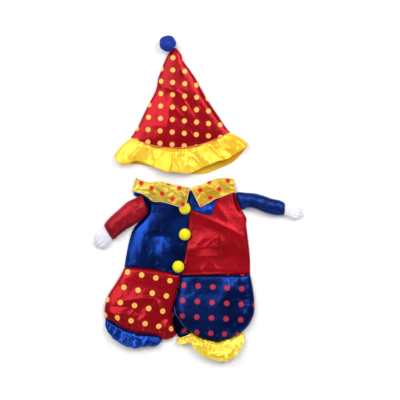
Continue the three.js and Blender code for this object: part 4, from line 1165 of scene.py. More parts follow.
@dataclass
class Bodice:
    """The romper's front and back, each in a blue and a red half."""

    cloths: Cloths
    rng: np.random.Generator
    rows: int = 110
    columns: int = 90
    seam_dip: float = 0.9
    seam_dip_width: float = 1.6
    hem_overlap: float = 1.5
    hem_dip: float = 1.7
    edge_drop: float = 1.5
    edge_roll: float = 6.0
    back_height: float = 0.9
    back_ripple: float = 0.35
    button_lift: float = 1.8
    button_reach: float = 9.0
    lap: float = 3.6
    lap_columns: int = 6
    folds: list[Fold] = field(default_factory=list)

    def __post_init__(self) -> None:
        """Gathers the listed folds and strews small ones."""
        blue = Scatter(34, (-108, -112), (-20, -12), 65, 60)
        red = Scatter(38, (-12, -116), (76, 8), -25, 60)
        self.folds = [*FRONT_FOLDS, *blue.folds(self.rng), *red.folds(self.rng)]

    def height(self, x: np.ndarray, y: np.ndarray) -> np.ndarray:
        """The height of the fronts' upper side over the body."""
        left, right = outer_edge(BLUE_HALF, y), outer_edge(RED_HALF, y)
        across = np.clip((2 * (x - left)) / (right - left) - 1, -1, 1)
        crown = 1 - np.abs(across) ** BODY_CROWN_POWER
        folded = fold_height(self.folds, x, y) * np.sqrt(crown)
        for at_x, at_y in BUTTONS.values():
            folded += self.button_lift * bell(np.hypot(x - at_x, y - at_y) / self.button_reach)
        return FRONT_FLOOR + np.maximum(0, BODY_CROWN * crown + folded)

    def grid(self, half: Sequence[Half], overlap: float) -> tuple[np.ndarray, np.ndarray, np.ndarray]:
        """Places over a half in rows, and how far down it each row is."""
        down, share = np.meshgrid(
            np.linspace(0, 1, self.rows), np.linspace(0, 1, self.columns), indexing="ij"
        )
        read = columns_of(half, down)
        x = mixed(read["outer_x"], read["seam_x"], share)
        y = mixed(read["outer_y"], read["seam_y"], share) + read["bow"] * np.sin(np.pi * share)
        y = y - overlap * eased(down, 0.9, 1)
        return x, y, down

    def front(
        self, name: str, half: Sequence[Half], material: bpy.types.Material, slot: str
    ) -> bpy.types.Object:
        """One half of the front, dipped at its seams."""
        x, y, down = self.grid(half, self.hem_overlap)
        share = np.linspace(0, 1, self.columns)[None]
        width = abs(half[5].outer_x - half[5].seam_x)
        from_seam = (1 - share) * width
        dip = self.seam_dip * bell(from_seam / self.seam_dip_width)
        drop = self.edge_drop * (1 - eased(share * width, 0, self.edge_roll))
        hem = self.hem_dip * bell((1 - down) * PANEL_LENGTH / END_DIP_WIDTH)
        z = self.height(x, y) - dip - drop - hem
        points = self.lapped(np.stack([x, y, z], axis=-1), down[:, :1])
        return sewn(name, slot, laid(points), material)

    def lapped(self, points: np.ndarray, down: np.ndarray) -> np.ndarray:
        """The grid with a lap under the sleeve, beyond its armhole."""
        reach = self.lap * eased(down, 0.06, 0.2) * (1 - eased(down, 0.54, 0.66))
        step = np.linspace(1, 0, self.lap_columns, endpoint=False)[None]
        outwards = np.sign(points[0, 0, 0] - points[0, -1, 0])
        lap = np.repeat(points[:, :1], self.lap_columns, axis=1)
        lap[..., 0] += outwards * reach * step
        lap[..., 1] -= reach * step * 0.4 * eased(down, 0.3, 0.5)
        lap[..., 2] -= np.minimum(1.6, lap[..., 2] - 2.0) * np.sqrt(step) * (reach > 0.2)
        return np.concatenate([lap, points], axis=1)

    def back(
        self, name: str, half: Sequence[Half], material: bpy.types.Material, slot: str
    ) -> bpy.types.Object:
        """One half of the back, flat on the table."""
        x, y, _ = self.grid(half, 0)
        ripple = Scatter(16, (-110, -110), (76, 10)).folds(self.rng)
        z = self.back_height + self.back_ripple * np.clip(fold_height(ripple, x, y), 0, 1)
        return sewn(name, slot, laid(np.stack([x, y, z], axis=-1)), material, BACK_WALL)

    def build(self) -> None:
        """Makes the four panels."""
        cloths = self.cloths
        blue = self.front("front_blue", BLUE_HALF, cloths.blue, "satin_blue")
        red = self.front("front_red", RED_HALF, cloths.red, "satin_red")
        back_blue = self.back("back_blue", BLUE_HALF, cloths.blue, "satin_blue")
        back_red = self.back("back_red", RED_HALF, cloths.red, "satin_red")


# ================================================================ tubes


@dataclass
class Tube:
    """A flattened tube of cloth worked out from a table of sections."""

    sections: Sequence[Section]
    side: float
    folds: Sequence[Fold] = ()
    puffs: Sequence[Puff] = ()
    roundness: float = TUBE_ROUNDNESS
    rows: int = 100
    top_columns: int = 151
    under_columns: int = 61
    groove: float = 0.0
    shoulder: float = 0.0

    def top_shares(self) -> np.ndarray:
        """Shares of the width of the upper layer, left to right, closer at the sides."""
        even = np.linspace(0, 1, self.top_columns)
        return mixed(even, 0.5 - 0.5 * np.cos(np.pi * even), 0.55)

    def column(self, name: str, down: np.ndarray) -> np.ndarray:
        """A column of the sections at fractions down the tube."""
        return smoothed([getattr(row, name) for row in self.sections], down)

    def places(
        self, share: np.ndarray, down: np.ndarray, gathered: np.ndarray
    ) -> tuple[np.ndarray, np.ndarray]:
        """Where points at shares of the width lie, seen from above."""
        bow = 1 - (2 * share - 1) ** 2
        puff = sum((p.reach * bell((share - p.at) / p.width) for p in self.puffs), np.zeros_like(share))
        x = mixed(self.column("left_x", down), self.column("right_x", down), share)
        y = mixed(self.column("left_y", down), self.column("right_y", down), share)
        return x, y - self.column("sag", down) * bow - puff * gathered

    def cloth(self) -> Cloth:
        """The tube's outer surface, in rings that start under its middle."""
        down = np.linspace(0, 1, self.rows)[:, None]
        gathered = eased(down, 0.45, 1)
        rise = self.column("rise", down)
        widest = np.minimum(self.side, rise * TUBE_SIDE_SHARE)
        share = np.broadcast_to(self.top_shares()[None], (self.rows, self.top_columns))
        x, y = self.places(share, down, gathered)
        crown = crown_share(share, self.roundness)
        lift = sum((p.lift * bell((share - p.at) / p.width) for p in self.puffs), np.zeros_like(share))
        raised = fold_height(self.folds, x, y) * crown + lift * gathered * crown
        raised = raised - self.groove * bell(down * PANEL_LENGTH / END_DIP_WIDTH)
        raised = raised + self.shoulder * eased(down, 0, 0.05) * (1 - eased(down, 0.04, 0.16)) * crown
        top = np.stack([x, y, widest + (rise - widest) * crown + raised], axis=-1)
        share = np.broadcast_to(under_shares(self.under_columns)[None], (self.rows, self.under_columns))
        x, y = self.places(share, down, gathered)
        flap = eased(1 - share / UNDER_FLAP_WIDTH, 0, 1)
        x = x - self.column("under_x", down) * flap
        y = y - self.column("under_y", down) * flap
        under = np.stack([x, y, under_height(share, widest)], axis=-1)
        return ring_cloth(top, under)


def under_shares(columns: int) -> np.ndarray:
    """Shares of the width of an under layer, right to left, without its two sides."""
    return 0.5 + 0.5 * np.cos(np.pi * (np.arange(1, columns + 1) / (columns + 1)))


def left_edge(under_columns: int) -> int:
    """The column of a tube's left edge, in rings that start under its middle."""
    return under_columns - (under_columns - 1) // 2


def ring_cloth(top: np.ndarray, under: np.ndarray) -> Cloth:
    """A tube of cloth from its upper layer and its under layer."""
    left = left_edge(under.shape[1])
    start = under.shape[1] - left
    ring = np.concatenate([under[:, start:], top, under[:, :start]], axis=1)
    return Cloth(ring, unrolled(ring, left, left + top.shape[1] - 1), True)


def crown_share(share: np.ndarray, power: float) -> np.ndarray:
    """How much of its full crown a flattened tube has at shares of its width."""
    return np.sqrt(np.maximum(0, 1 - np.abs(2 * share - 1) ** power))


def under_height(share: np.ndarray, side: np.ndarray | float) -> np.ndarray:
    """The height of a tube's under layer, flat on the table but for its rounded sides."""
    return side * np.maximum(0, 1 - crown_share(share, TUBE_ROUNDNESS) / FLAT_SHARE)


def turned_in(cloth: Cloth, reach: float, drop: float, at_end: bool = True, steps: int = 5) -> Cloth:
    """A tube whose open edge rolls over and back inside it.

    Args:
        cloth: The tube.
        reach: How far the roll goes out past the edge, in millimetres.
        drop: The share of its height that the edge loses.
        at_end: Whether it is the last row that turns, and not the first.
        steps: How many rows the roll takes.

    Returns:
        The tube with its rolled edge.
    """
    turn = 1 if at_end else -1
    points, flat = cloth.points[::turn], cloth.flat[::turn]
    out = unit((points[-1] - points[-3]) * [1, 1, 0])
    rows, flats = [points], [flat]
    for step in range(1, steps + 1):
        angle = math.pi * step / steps
        row = points[-1] + out * reach * math.sin(angle) - out * reach * 1.5 * (1 - math.cos(angle)) / 2
        row[:, 2] = points[-1][:, 2] * (1 - drop * (1 - math.cos(angle)) / 2)
        rows.append(row[None])
        beyond = np.append(out[:, :2], out[:1, :2], axis=0) * reach * step / steps * 2
        flats.append((flat[-1] + beyond)[None])
    return Cloth(np.concatenate(rows)[::turn], np.concatenate(flats)[::turn], cloth.is_tube)


@dataclass
class Legs:
    """The two puffed legs, gathered at their hems."""

    cloths: Cloths
    rng: np.random.Generator
    side: float = 4.6
    groove: float = 1.5
    shoulder: float = 2.4
    turn_reach: float = 1.6
    turn_drop: float = 0.45
    # The welt is a rope of light sky-blue thread along the blue leg's inner edge, lighter than the leg: a
    # painted highlight on that fold.
    highlight_welt_radius: float = 0.7
    highlight_welt_from: int = 44
    highlight_welt_to: int = 98

    def leg(self, name: str, tube: Tube, material: bpy.types.Material, slot: str) -> bpy.types.Object:
        """One leg, turned in at its hem."""
        tube.groove, tube.shoulder = self.groove, self.shoulder
        cloth = turned_in(tube.cloth(), self.turn_reach, self.turn_drop)
        return sewn(name, slot, cloth, material)

    def build(self) -> None:
        """Makes both legs."""
        red_small = Scatter(60, (-146, -206), (-38, -118), 10, 70, (8, 24), (-0.5, 0.6))
        blue_small = Scatter(50, (-34, -218), (88, -124), -5, 70, (8, 26), (-0.35, 0.45))
        red_folds = [*RED_LEG_FOLDS, *red_small.folds(self.rng), *self.gathers(RED_LEG[-1])]
        blue_folds = [*BLUE_LEG_FOLDS, *blue_small.folds(self.rng), *self.gathers(BLUE_LEG[-1])]
        tube = Tube(RED_LEG, self.side, red_folds, RED_PUFFS, 3.0)
        red = self.leg("leg_red", tube, self.cloths.leg_red, "satin_red_dotted")
        tube = Tube(BLUE_LEG, self.side, blue_folds, BLUE_PUFFS, 5.0)
        blue = self.leg("leg_blue", tube, self.cloths.leg_blue, "satin_blue_dotted")
        inner = left_edge(tube.under_columns)
        # A lighter rope along the under layer's fold: a painted highlight.
        line = tube.cloth().points[self.highlight_welt_from : self.highlight_welt_to, inner + 2] + [0.2, 0, 0.5]
        thread = self.cloths.threads[Thread.SKY_AND_HIGHLIGHT]
        highlight_welt = rope("leg_blue_inner_highlight_welt", line, self.highlight_welt_radius, thread, 8)
        placed(highlight_welt, "satin_blue_dotted")

    def gathers(self, hem: Section, count: int = 26) -> list[Fold]:
        """Short creases that run up from a hem, uneven in place, length and depth."""
        made = []
        for index in range(count):
            share = (index + 0.5 + self.rng.uniform(-0.35, 0.35)) / count
            x = mixed(hem.left_x, hem.right_x, share)
            y = mixed(hem.left_y, hem.right_y, share) - hem.sag * (1 - (2 * share - 1) ** 2)
            length, lean = self.rng.uniform(9, 22), self.rng.uniform(-4, 4)
            height = self.rng.uniform(0.5, 1.1) * (1 if index % 2 else -1)
            width = self.rng.uniform(1.3, 2.4)
            made.append(Fold(x, y - 3, x + lean, y + length, height, width, lean / 3, 1.6))
        return made


@dataclass
class Frill:
    """A gathered ring of satin: waves that grow from its seam to its free edge."""

    name: str
    slot: str
    material: bpy.types.Material
    hem: Section
    puffs: Sequence[Puff]
    edge: Sequence[Place]
    under_edge: Sequence[Place]
    flutes: Sequence[Place]
    seam_rise: float
    edge_rise: float
    rng: np.random.Generator
    seam_from: float = 0.0
    seam_to: float = 1.0
    seam_start: Sequence[Place] = ()
    scallop: float = 1.0
    gathers: int = 44
    gather_height: float = 0.9
    crumple: float = 0.5
    flute_scale: float = 1.0
    bulge: float = 0.0
    placed_creases: Sequence[Fold] = ()
    creases: int = 70
    crease_height: float = 0.9
    crease_length: tuple[float, float] = (7, 24)
    crease_width: tuple[float, float] = (1.1, 3.4)
    stitched: bpy.types.Material | None = None
    tuck: float = 0.2
    tuck_rise: float = 5.0
    rows: int = 40
    top_columns: int = 361
    under_columns: int = 101
    hem_radius: float = 0.5

    def seam_line(self) -> Callable[[np.ndarray], np.ndarray]:
        """The line along which the frill is sewn to its hem."""
        tube = Tube([self.hem, self.hem], 0, puffs=self.puffs)
        share = np.linspace(self.seam_from, self.seam_to, 12)
        x, y = tube.places(share, np.ones_like(share), np.ones_like(share))
        return line_through([*self.seam_start, *zip(x, y - FRILL_GAP)])

    def waves(self, share: np.ndarray, down: np.ndarray) -> np.ndarray:
        """The height of the flutes, the gathers at the seam and the small crumples."""
        at, height = np.array(self.flutes).T
        blur = np.linspace(-0.008, 0.008, 5)
        flutes = sum(np.interp(share + shift, at, height) for shift in blur) / len(blur)
        total = flutes * self.flute_scale * mixed(0.3, 1.0, down)
        for _ in range(self.gathers):
            at = self.rng.uniform(0, 1)
            width = self.rng.uniform(0.12, 0.75) / self.gathers
            reach = self.rng.uniform(0.1, 0.95) ** 1.5
            height = self.gather_height * self.rng.uniform(-0.7, 1.4)
            lean = self.rng.uniform(-1.5, 1.5) / self.gathers
            fade = np.clip(1 - down / reach, 0, 1)
            total += height * fade * bell((share - at - lean * down) / width, 1.5)
        for _ in range(int(self.gathers * 1.6)):
            at, middle = self.rng.uniform(0.03, 0.97), self.rng.uniform(0.2, 0.95)
            lean = self.rng.uniform(-0.12, 0.12)
            width, length = self.rng.uniform(0.005, 0.014), self.rng.uniform(0.1, 0.35)
            height = self.crumple * self.rng.uniform(-1, 1)
            ridge = bell((share - at - lean * (down - middle)) / width, 1.4)
            total += height * ridge * bell((down - middle) / length)
        return total

    def bulged(self, share: np.ndarray, down: np.ndarray) -> np.ndarray:
        """How far the frill's two sides stand out past straight lines."""
        side = eased(share, 0.88, 1) - (1 - eased(share, 0, 0.12))
        out = self.bulge * np.sin(np.pi * down)
        return np.stack([0.7 * side * out, 0.6 * np.abs(side) * out], axis=-1)

    def cloth(self) -> Cloth:
        """The frill's outer surface, in rings that start under its middle."""
        down = np.linspace(-self.tuck, 1, self.rows)[:, None]
        seam, edge, under_edge = self.seam_line(), line_through(self.edge), line_through(self.under_edge)
        share = np.linspace(0, 1, self.top_columns)[None]
        spread = np.clip(down, 0, 1)
        place = mixed(seam(share), edge(share), down[..., None]) + self.bulged(share, spread)
        crown = crown_share(share, FRILL_ROUNDNESS)
        rise = mixed(self.seam_rise, self.edge_rise, np.sin(spread * np.pi / 2))
        rise = mixed(self.tuck_rise, rise, eased(down, -self.tuck * 0.3, 0.22))
        waves = self.waves(np.broadcast_to(share, (self.rows, self.top_columns)), np.maximum(down, 0))
        low, high = place[..., :2].min(axis=(0, 1)), place[..., :2].max(axis=(0, 1))
        reach = (-0.7 * self.crease_height, self.crease_height)
        small = Scatter(
            self.creases, tuple(low), tuple(high), -70, 60, self.crease_length, reach, self.crease_width
        )
        waves += fold_height([*self.placed_creases, *small.folds(self.rng)], place[..., 0], place[..., 1])
        waves *= eased(down, -self.tuck, 0.05)
        shift = self.scallop * np.gradient(waves, axis=1) * 3
        x = place[..., 0] - shift * 0.4
        y = place[..., 1] - self.scallop * 0.35 * waves * spread * crown
        z = mixed(FRILL_SIDE, rise + waves, crown)
        top = np.stack([x, y, np.maximum(z, 1.2)], axis=-1)
        share = under_shares(self.under_columns)[None]
        place = mixed(seam(share), under_edge(share), down[..., None]) + self.bulged(share, spread)
        z = np.broadcast_to(under_height(share, FRILL_SIDE), place.shape[:2])
        under = np.concatenate([place, z[..., None]], axis=-1)
        return ring_cloth(top, under)

    def build(self, flat: tuple[float, float], rests_on: Sequence[str]) -> None:
        """Makes the frill and its rolled edge.

        Args:
            flat: The strip's length and width before it is gathered, in metres; not used.
            rests_on: What it lies on; not used.
        """
        cloth = self.cloth()
        made = sewn(self.name, self.slot, cloth, self.material)
        rim = cloth.points[-1].copy()
        rim[:, 2] = np.maximum(rim[:, 2] - CLOTH_WALL / 2, self.hem_radius)
        hem = rope(f"{self.name}_rolled_hem", rim, self.hem_radius, self.material, 6, True)
        trims = [placed(hem, self.slot)]
        if self.stitched:
            start = left_edge(self.under_columns)
            line = cloth.points[-4, start + 4 : start + self.top_columns - 4]
            row = stitches(f"{self.name}_stitches", line, self.stitched, 3.2, 0.8, 0.4)
            trims.append(placed(row, self.slot))


# ================================================================ collar


@dataclass
class Collar:
    """The two dotted collar halves and the petal under the right one."""

    cloths: Cloths
    bodice: Bodice
    rng: np.random.Generator
    petal_wall: float = 1.1
    petal_dome: float = 1.6
    wall: float = 1.3
    roll: float = 1.6
    roll_share: float = 0.14
    edge_radius: float = 0.62
    stitch_inset: int = 5
    rows: int = 50
    columns: int = 120
    petal_rows: int = 48

    def height(self, x: np.ndarray, y: np.ndarray, layers: float, folds: Sequence[Fold]) -> np.ndarray:
        """The height of a layer of the collar, lifted where it lies over the first button."""
        button = BUTTONS["button_1"]
        over = COLLAR_BUTTON_LIFT * bell(np.hypot(x - button[0], y - button[1]) / COLLAR_LIFT_REACH)
        return self.bodice.height(x, y) + layers + over + np.maximum(-0.4, fold_height(folds, x, y))

    def half(
        self, name: str, strips: Sequence[Strip], layers: float, material: bpy.types.Material,
        folds: Sequence[Fold], flat: tuple[float, float],
    ) -> None:
        """One half of the collar, rolled at its neck edge and edge-stitched."""
        share, down = np.meshgrid(
            np.linspace(0, 1, self.columns), np.linspace(0, 1, self.rows), indexing="ij"
        )
        read = columns_of(strips, share)
        x, y = mixed(read["top_x"], read["edge_x"], down), mixed(read["top_y"], read["edge_y"], down)
        z = self.height(x, y, layers, folds) - self.roll * (1 - eased(down, 0, self.roll_share))
        points = np.stack([x, y, z], axis=-1)
        made = sewn(name, "satin_yellow_dotted", laid(points), material, COLLAR_WALL)
        rim = np.concatenate([points[0, ::-1], points[1:, 0], points[-1, 1:], points[-2::-1, -1]])
        rim[:, 2] -= COLLAR_WALL / 2
        edge = rope(f"{name}_edge", rim, self.edge_radius, self.cloths.threads[Thread.CREAM], 8, True)
        inset = self.stitch_inset
        line = np.concatenate([
            points[inset, :-inset], points[inset:-inset, -inset], points[-inset, -inset::-1]
        ])
        row = stitches(f"{name}_stitches", line, self.cloths.threads[Thread.CREAM])
        for extra in (edge, row):
            placed(extra, "satin_yellow_dotted")

    def petal(self) -> None:
        """The round blue petal under the right half's point."""
        even = np.linspace(0, 1, self.petal_rows)
        down, share = np.meshgrid(even, even, indexing="ij")
        read = columns_of(PETAL, down)
        x, y = mixed(read["top_x"], read["edge_x"], share), mixed(read["top_y"], read["edge_y"], share)
        dome = 0.9 * (1 - (2 * share - 1) ** 4) * (1 - eased(down, 0.75, 1) * 0.6)
        dome = dome + self.petal_dome * bell(np.hypot((x - 16) / 7, (y + 17) / 6))
        z = self.bodice.height(x, y) + LAYER_GAP + self.petal_wall - 0.4 + dome
        cloth = laid(np.stack([x, y, z], axis=-1))
        made = sewn("collar_petal", "satin_blue", cloth, self.cloths.blue, PETAL_WALL)

    def build(self) -> None:
        """Makes the collar."""
        small = Scatter(64, (-100, -8), (-14, 30), -30, 70, (6, 18), (-0.9, 1.1), (0.9, 2.4))
        left_folds = [*COLLAR_FOLDS, *small.folds(self.rng)]
        small = Scatter(34, (-6, -8), (58, 30), 35, 60, (6, 18), (-0.7, 0.8), (0.9, 2.4))
        right_folds = [*COLLAR_FOLDS, *small.folds(self.rng)]
        low = LAYER_GAP + self.wall
        high = LAYER_GAP + self.petal_wall + LAYER_GAP + self.wall
        self.petal()
        self.half("collar_left", COLLAR_LEFT, low, self.cloths.collar_left, left_folds, (0.092, 0.034))
        self.half("collar_right", COLLAR_RIGHT, high, self.cloths.collar_right, right_folds, (0.072, 0.032))


# ================================================================ sleeves and gloves


@dataclass
class Limb:
    """A stuffed sleeve or glove, rounded at its closed end."""

    name: str
    slot: str
    material: bpy.types.Material
    sections: Sequence[Section]
    folds: Sequence[Fold]
    rows: int = 70
    top_columns: int = 71
    under_columns: int = 35
    side: float = 8.0
    dome_start: float = 0.0
    dome_end: float = 0.0
    fill: float = 0.8

    def build(self) -> None:
        """Makes the limb."""
        tube = Tube(
            self.sections, self.side, self.folds, (), STUFFED_ROUNDNESS, self.rows, self.top_columns,
            self.under_columns,
        )
        cloth = tube.cloth()
        if self.dome_start:
            cloth = domed(cloth, self.dome_start, False)
        if self.dome_end:
            cloth = domed(cloth, self.dome_end, True)
        made = cloth_object(f"{self.name}_cloth", cloth, self.material, 0)
        placed(made, self.slot, self.name)
        told(made)


def domed(cloth: Cloth, depth: float, at_end: bool, steps: int = 9) -> Cloth:
    """A tube closed by a round end.

    Args:
        cloth: The tube.
        depth: How far the end stands out, in millimetres.
        at_end: Whether it is the last row that closes, and not the first.
        steps: How many rows the end takes.

    Returns:
        The tube with its end, whose last ring is drawn to a point.
    """
    turn = 1 if at_end else -1
    points, flat = cloth.points[::turn], cloth.flat[::turn]
    centre = points[-1].mean(axis=0)
    out = unit((centre - points[-4].mean(axis=0)) * [1, 1, 0])
    rows, flats = [points], [flat]
    for step in range(1, steps + 1):
        angle = 0.5 * math.pi * step / steps
        size = max(math.cos(angle), 0.004)
        ring = centre + (points[-1] - centre) * size + out * depth * math.sin(angle)
        rows.append(ring[None])
        flats.append((flat[-1] * size + flat[-1].mean(axis=0) * (1 - size))[None])
    return Cloth(np.concatenate(rows)[::turn], np.concatenate(flats)[::turn], cloth.is_tube)


@dataclass
class Sleeves:
    """Two stuffed sleeves, each with a stuffed glove in its cuff."""

    cloths: Cloths
    rng: np.random.Generator

    def build(self) -> None:
        """Makes the sleeves and gloves."""
        red_small = Scatter(34, (-146, -62), (-84, 2), 60, 50, (6, 18), (-0.7, 0.8), (1.2, 3.0))
        blue_small = Scatter(34, (64, -26), (136, 8), 90, 50, (6, 18), (-0.7, 0.8), (1.2, 3.0))
        red_folds = [*RED_SLEEVE_FOLDS, *red_small.folds(self.rng)]
        blue_folds = [*BLUE_SLEEVE_FOLDS, *blue_small.folds(self.rng)]
        red, blue, white = self.cloths.red_matt, self.cloths.blue_matt, self.cloths.white
        sleeve = {"dome_start": 1.5, "dome_end": 1.2}
        glove = {"rows": 60, "top_columns": 61, "under_columns": 31, "dome_start": 1}
        Limb("sleeve_red", "satin_red", red, RED_SLEEVE, red_folds, **sleeve).build()
        Limb("sleeve_blue", "satin_blue", blue, BLUE_SLEEVE, blue_folds, **sleeve).build()
        Limb("glove_left", "jersey_white", white, LEFT_GLOVE, FINGER_FOLDS, **glove, dome_end=3.2).build()
        Limb("glove_right", "jersey_white", white, RIGHT_GLOVE, FINGER_FOLDS, **glove, dome_end=2.6).build()


# ================================================================ pompoms


@dataclass
class Pompom:
    """A pompom: a soft core that carries thousands of short tufts."""

    name: str
    slot: str
    # tip is the pile's colour; root is that colour darkened deep in the pile, a painted shade
    tip: Colour
    root: Colour
    rng: np.random.Generator
    tufts: int = 2600
    core_share: float = 0.89
    tuft_radius: float = 0.42
    lump: float = 0.0
    grown: float = 1.0
    shift: tuple[float, float, float] = (0.0, 0.0, 0.0)
    tuft_sides: int = 3

    def build(self) -> None:
        """Makes the pompom in the place of its node."""
        low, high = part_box(self.name)
        centre, half = (low + high) / 2 / MM, (high - low) / 2 / MM
        centre, scale = np.array(centre) + self.shift, np.array(half) * self.grown
        finish = Pile(f"pile_{self.name}", self.tip, self.root, tuple(centre * MM), tuple(scale * MM))
        count = self.tufts
        index = np.arange(count) + 0.5
        polar, turn = np.arccos(1 - 2 * index / count), np.pi * (1 + 5**0.5) * index
        direction = np.stack(
            [np.sin(polar) * np.cos(turn), np.sin(polar) * np.sin(turn), np.cos(polar)], axis=-1
        )
        direction += self.rng.normal(0, 0.018, direction.shape)
        direction = unit(direction)
        swell = 1 + self.lump * np.sin(direction @ [3.1, 2.3, 1.7]) * np.cos(direction @ [1.3, -3.3, 2.9])
        level = unit(np.cross(direction, [0.31, 0.52, 0.8]))
        upright = np.cross(direction, level)
        lean = self.rng.normal(0, 0.06, (count, 1)) * level + self.rng.normal(0, 0.06, (count, 1)) * upright
        reach = self.rng.uniform(0.94, 1.0, (count, 1)) * swell[:, None]
        round_it = spokes(level, upright, self.tuft_sides)
        width = self.tuft_radius / scale.mean()
        root = direction[:, None] * (self.core_share - 0.1) + round_it * width
        middle = (direction * (reach * 0.94) + lean * 0.5)[:, None] + round_it * width * 0.9
        top = (direction * reach + lean)[:, None]
        verts = np.concatenate([root, middle, top], axis=1) * scale + centre
        faces = []
        sides, tuft_points = self.tuft_sides, 2 * self.tuft_sides + 1
        for base in range(0, count * tuft_points, tuft_points):
            tip = base + tuft_points - 1
            for quad in band(base, base + sides, sides):
                faces += [quad, [quad[3], quad[2], tip]]
        core_verts, core_faces = self.core(centre, scale * self.core_share)
        offset = count * tuft_points
        faces += [[corner + offset for corner in face] for face in core_faces]
        points = np.concatenate([verts.reshape(-1, 3), core_verts])
        made = mesh_object(f"{self.name}_pile", points, faces, finish.make())
        placed(made, self.slot, self.name)
        told(made)

    def core(self, centre: np.ndarray, scale: np.ndarray) -> tuple[np.ndarray, list[list[int]]]:
        """A round core of quads, with a cap at each pole."""
        bands, around = 20, 36
        polar = np.pi * np.arange(1, bands) / bands
        turn = 2 * np.pi * np.arange(around) / around
        ring = np.stack(
            [
                np.sin(polar)[:, None] * np.cos(turn),
                np.sin(polar)[:, None] * np.sin(turn),
                np.broadcast_to(np.cos(polar)[:, None], (bands - 1, around)),
            ],
            axis=-1,
        )
        verts = np.concatenate([ring.reshape(-1, 3), [[0, 0, 1.0], [0, 0, -1.0]]]) * scale + centre
        faces = []
        for band in range(bands - 2):
            for side in range(around):
                beside = (side + 1) % around
                here, after = band * around, (band + 1) * around
                faces.append([here + side, after + side, after + beside, here + beside])
        top, bottom, last = len(verts) - 2, len(verts) - 1, (bands - 2) * around
        for side in range(around):
            beside = (side + 1) % around
            faces.append([side, beside, top])
            faces.append([last + beside, last + side, bottom])
        return verts, faces


# ================================================================ hat


@dataclass
class Hat:
    """The pointed hat: its cone, frill and pompom."""

    cloths: Cloths
    rng: np.random.Generator
    side: float = 4.0
    turn_reach: float = 1.4
    turn_drop: float = 0.4
    tip_depth: float = 1.6
    piping_radius: float = 0.8

    def build(self) -> None:
        """Makes the hat."""
        small = Scatter(60, (-96, 84), (40, 226), -55, 50, (8, 24), (-0.4, 0.5))
        folds = [*HAT_FOLDS, *small.folds(self.rng)]
        tube = Tube(HAT_CONE, self.side, folds, (), TUBE_ROUNDNESS, 110, 131, 57)
        body = tube.cloth()
        cloth = domed(turned_in(body, self.turn_reach, self.turn_drop, False), self.tip_depth, True)
        cone = sewn("hat_cone", "satin_red_dotted", cloth, self.cloths.hat)
        start = left_edge(tube.under_columns)
        seam = body.points[0, start + 2 : start + tube.top_columns - 2] + [0, -0.9, -0.4]
        piping = rope("hat_cone_piping", seam, self.piping_radius, self.cloths.threads[Thread.CORAL])
        placed(piping, "satin_red_dotted")
        Frill(
            "hat_frill", "satin_yellow", self.cloths.yellow, HAT_CONE[0], (), HAT_FRILL_EDGE,
            HAT_FRILL_UNDER_EDGE, HAT_FLUTES, 10.5, 11.5, self.rng, scallop=1.0, gathers=34,
            gather_height=0.9, crumple=0.4, placed_creases=HAT_FRILL_CREASES, flute_scale=2.2, bulge=2.6,
            creases=60, crease_height=0.8, tuck=0.14, tuck_rise=8.0,
        ).build((0.471, 0.052), ["table"])
        # The second colour is the blue darkened deep in the pile: painted shade.
        Pompom(
            "hat_pompom", "pompom_blue", srgb(34, 70, 186), srgb(12, 30, 110), self.rng, 3600, lump=0.05,
            grown=1.12, shift=(1.3, -1.2, 1.2),
        ).build()


# ================================================================ studio


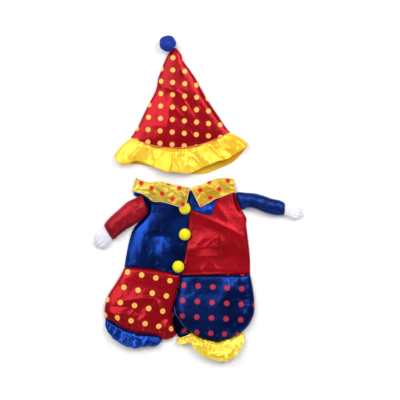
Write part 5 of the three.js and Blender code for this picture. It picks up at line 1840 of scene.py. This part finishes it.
@dataclass
class Studio:
    """A pale floor, soft boxes and a camera straight above."""

    view_width: float = 0.640
    camera_height: float = 3.0
    centre: Place = (0.0038, -0.0016)
    sensor: float = 36.0
    floor_reach: float = 3000.0
    floor_drop: float = 0.15
    sky_strength: float = 0.33

    def camera(self) -> None:
        """Looks straight down on the set."""
        data = bpy.data.cameras.new("camera")
        data.sensor_width = self.sensor
        data.lens = self.sensor * self.camera_height / self.view_width
        camera = bpy.data.objects.new("camera", data)
        camera.location = (*self.centre, self.camera_height)
        bpy.context.scene.collection.objects.link(camera)
        bpy.context.scene.camera = camera

    def softbox(self, name: str, place: tuple[float, float, float], size: float, power: float) -> None:
        """An area light that faces the middle of the set."""
        data = bpy.data.lights.new(name, "AREA")
        data.shape = "SQUARE"
        data.size = size
        data.energy = power
        light = bpy.data.objects.new(name, data)
        light.location = place
        light.rotation_euler = (-Vector(place)).to_track_quat("-Z", "Y").to_euler()
        bpy.context.scene.collection.objects.link(light)

    def build(self) -> None:
        """Makes the floor, the lights and the camera."""
        self.camera()
        signs = [(-1, -1), (1, -1), (1, 1), (-1, 1)]
        corners = [(x * self.floor_reach, y * self.floor_reach, -self.floor_drop) for x, y in signs]
        paper = Backdrop("pale_paper", srgb(250, 250, 250)).make()
        floor = mesh_object("floor", corners, [[0, 1, 2, 3]], paper)
        self.softbox("key_softbox", (-0.95, 0.87, 1.53), 1.8, 32.0)
        self.softbox("right_softbox", (0.95, 0.75, 1.35), 1.0, 17.0)
        self.softbox("foot_softbox", (0.2, -1.5, 1.3), 0.8, 4.0)
        world = bpy.data.worlds.new("studio")
        world.use_nodes = True
        background = world.node_tree.nodes["Background"]
        background.inputs["Color"].default_value = (1.0, 1.0, 1.0, 1.0)
        background.inputs["Strength"].default_value = self.sky_strength
        scene = bpy.context.scene
        scene.world = world
        scene.view_settings.view_transform = "Standard"


# ================================================================ the set


def main() -> None:
    """Builds the costume and its studio, in order."""
    logging.basicConfig(level=logging.INFO, format="%(name)s: %(message)s")
    Studio().build()
    rng = np.random.default_rng(SEED)
    cloths = Cloths()
    bodice = Bodice(cloths, rng)
    bodice.build()
    Legs(cloths, rng).build()
    # The blue cuff wears the lighter copy of the blue satin: painted light.
    Frill(
        "cuff_blue", "satin_blue", cloths.painted_lit_blue, RED_LEG[-1], RED_PUFFS, BLUE_CUFF_EDGE,
        BLUE_CUFF_UNDER_EDGE, BLUE_CUFF_FLUTES, 7.9, 10.0, rng, seam_to=0.82, scallop=1.8, gathers=30,
        stitched=cloths.threads[Thread.SKY_AND_HIGHLIGHT],
    ).build((0.213, 0.0295), ["table"])
    Frill(
        "cuff_yellow", "satin_yellow", cloths.pale_yellow, BLUE_LEG[-1], BLUE_PUFFS, YELLOW_CUFF_EDGE,
        YELLOW_CUFF_UNDER_EDGE, YELLOW_CUFF_FLUTES, 7.9, 11.0, rng, seam_from=0.12,
        seam_start=[(-32, -222.8), (-23.5, -222.4)], scallop=2.4, gathers=30, gather_height=1.1, crumple=1.0,
        placed_creases=YELLOW_CUFF_CREASES, creases=54, crease_height=2.2, crease_length=(9, 30),
        crease_width=(1.6, 4.6),
    ).build((0.275, 0.029), ["table"])
    Sleeves(cloths, rng).build()
    # The second colour is the yellow darkened deep in the pile: painted shade.
    yellow = (srgb(255, 244, 34), srgb(255, 230, 18))
    for name in BUTTONS:
        Pompom(name, "pompom_yellow", *yellow, rng).build()
    Collar(cloths, bodice, rng).build()
    Hat(cloths, rng).build()


if __name__ == "__main__":
    main()
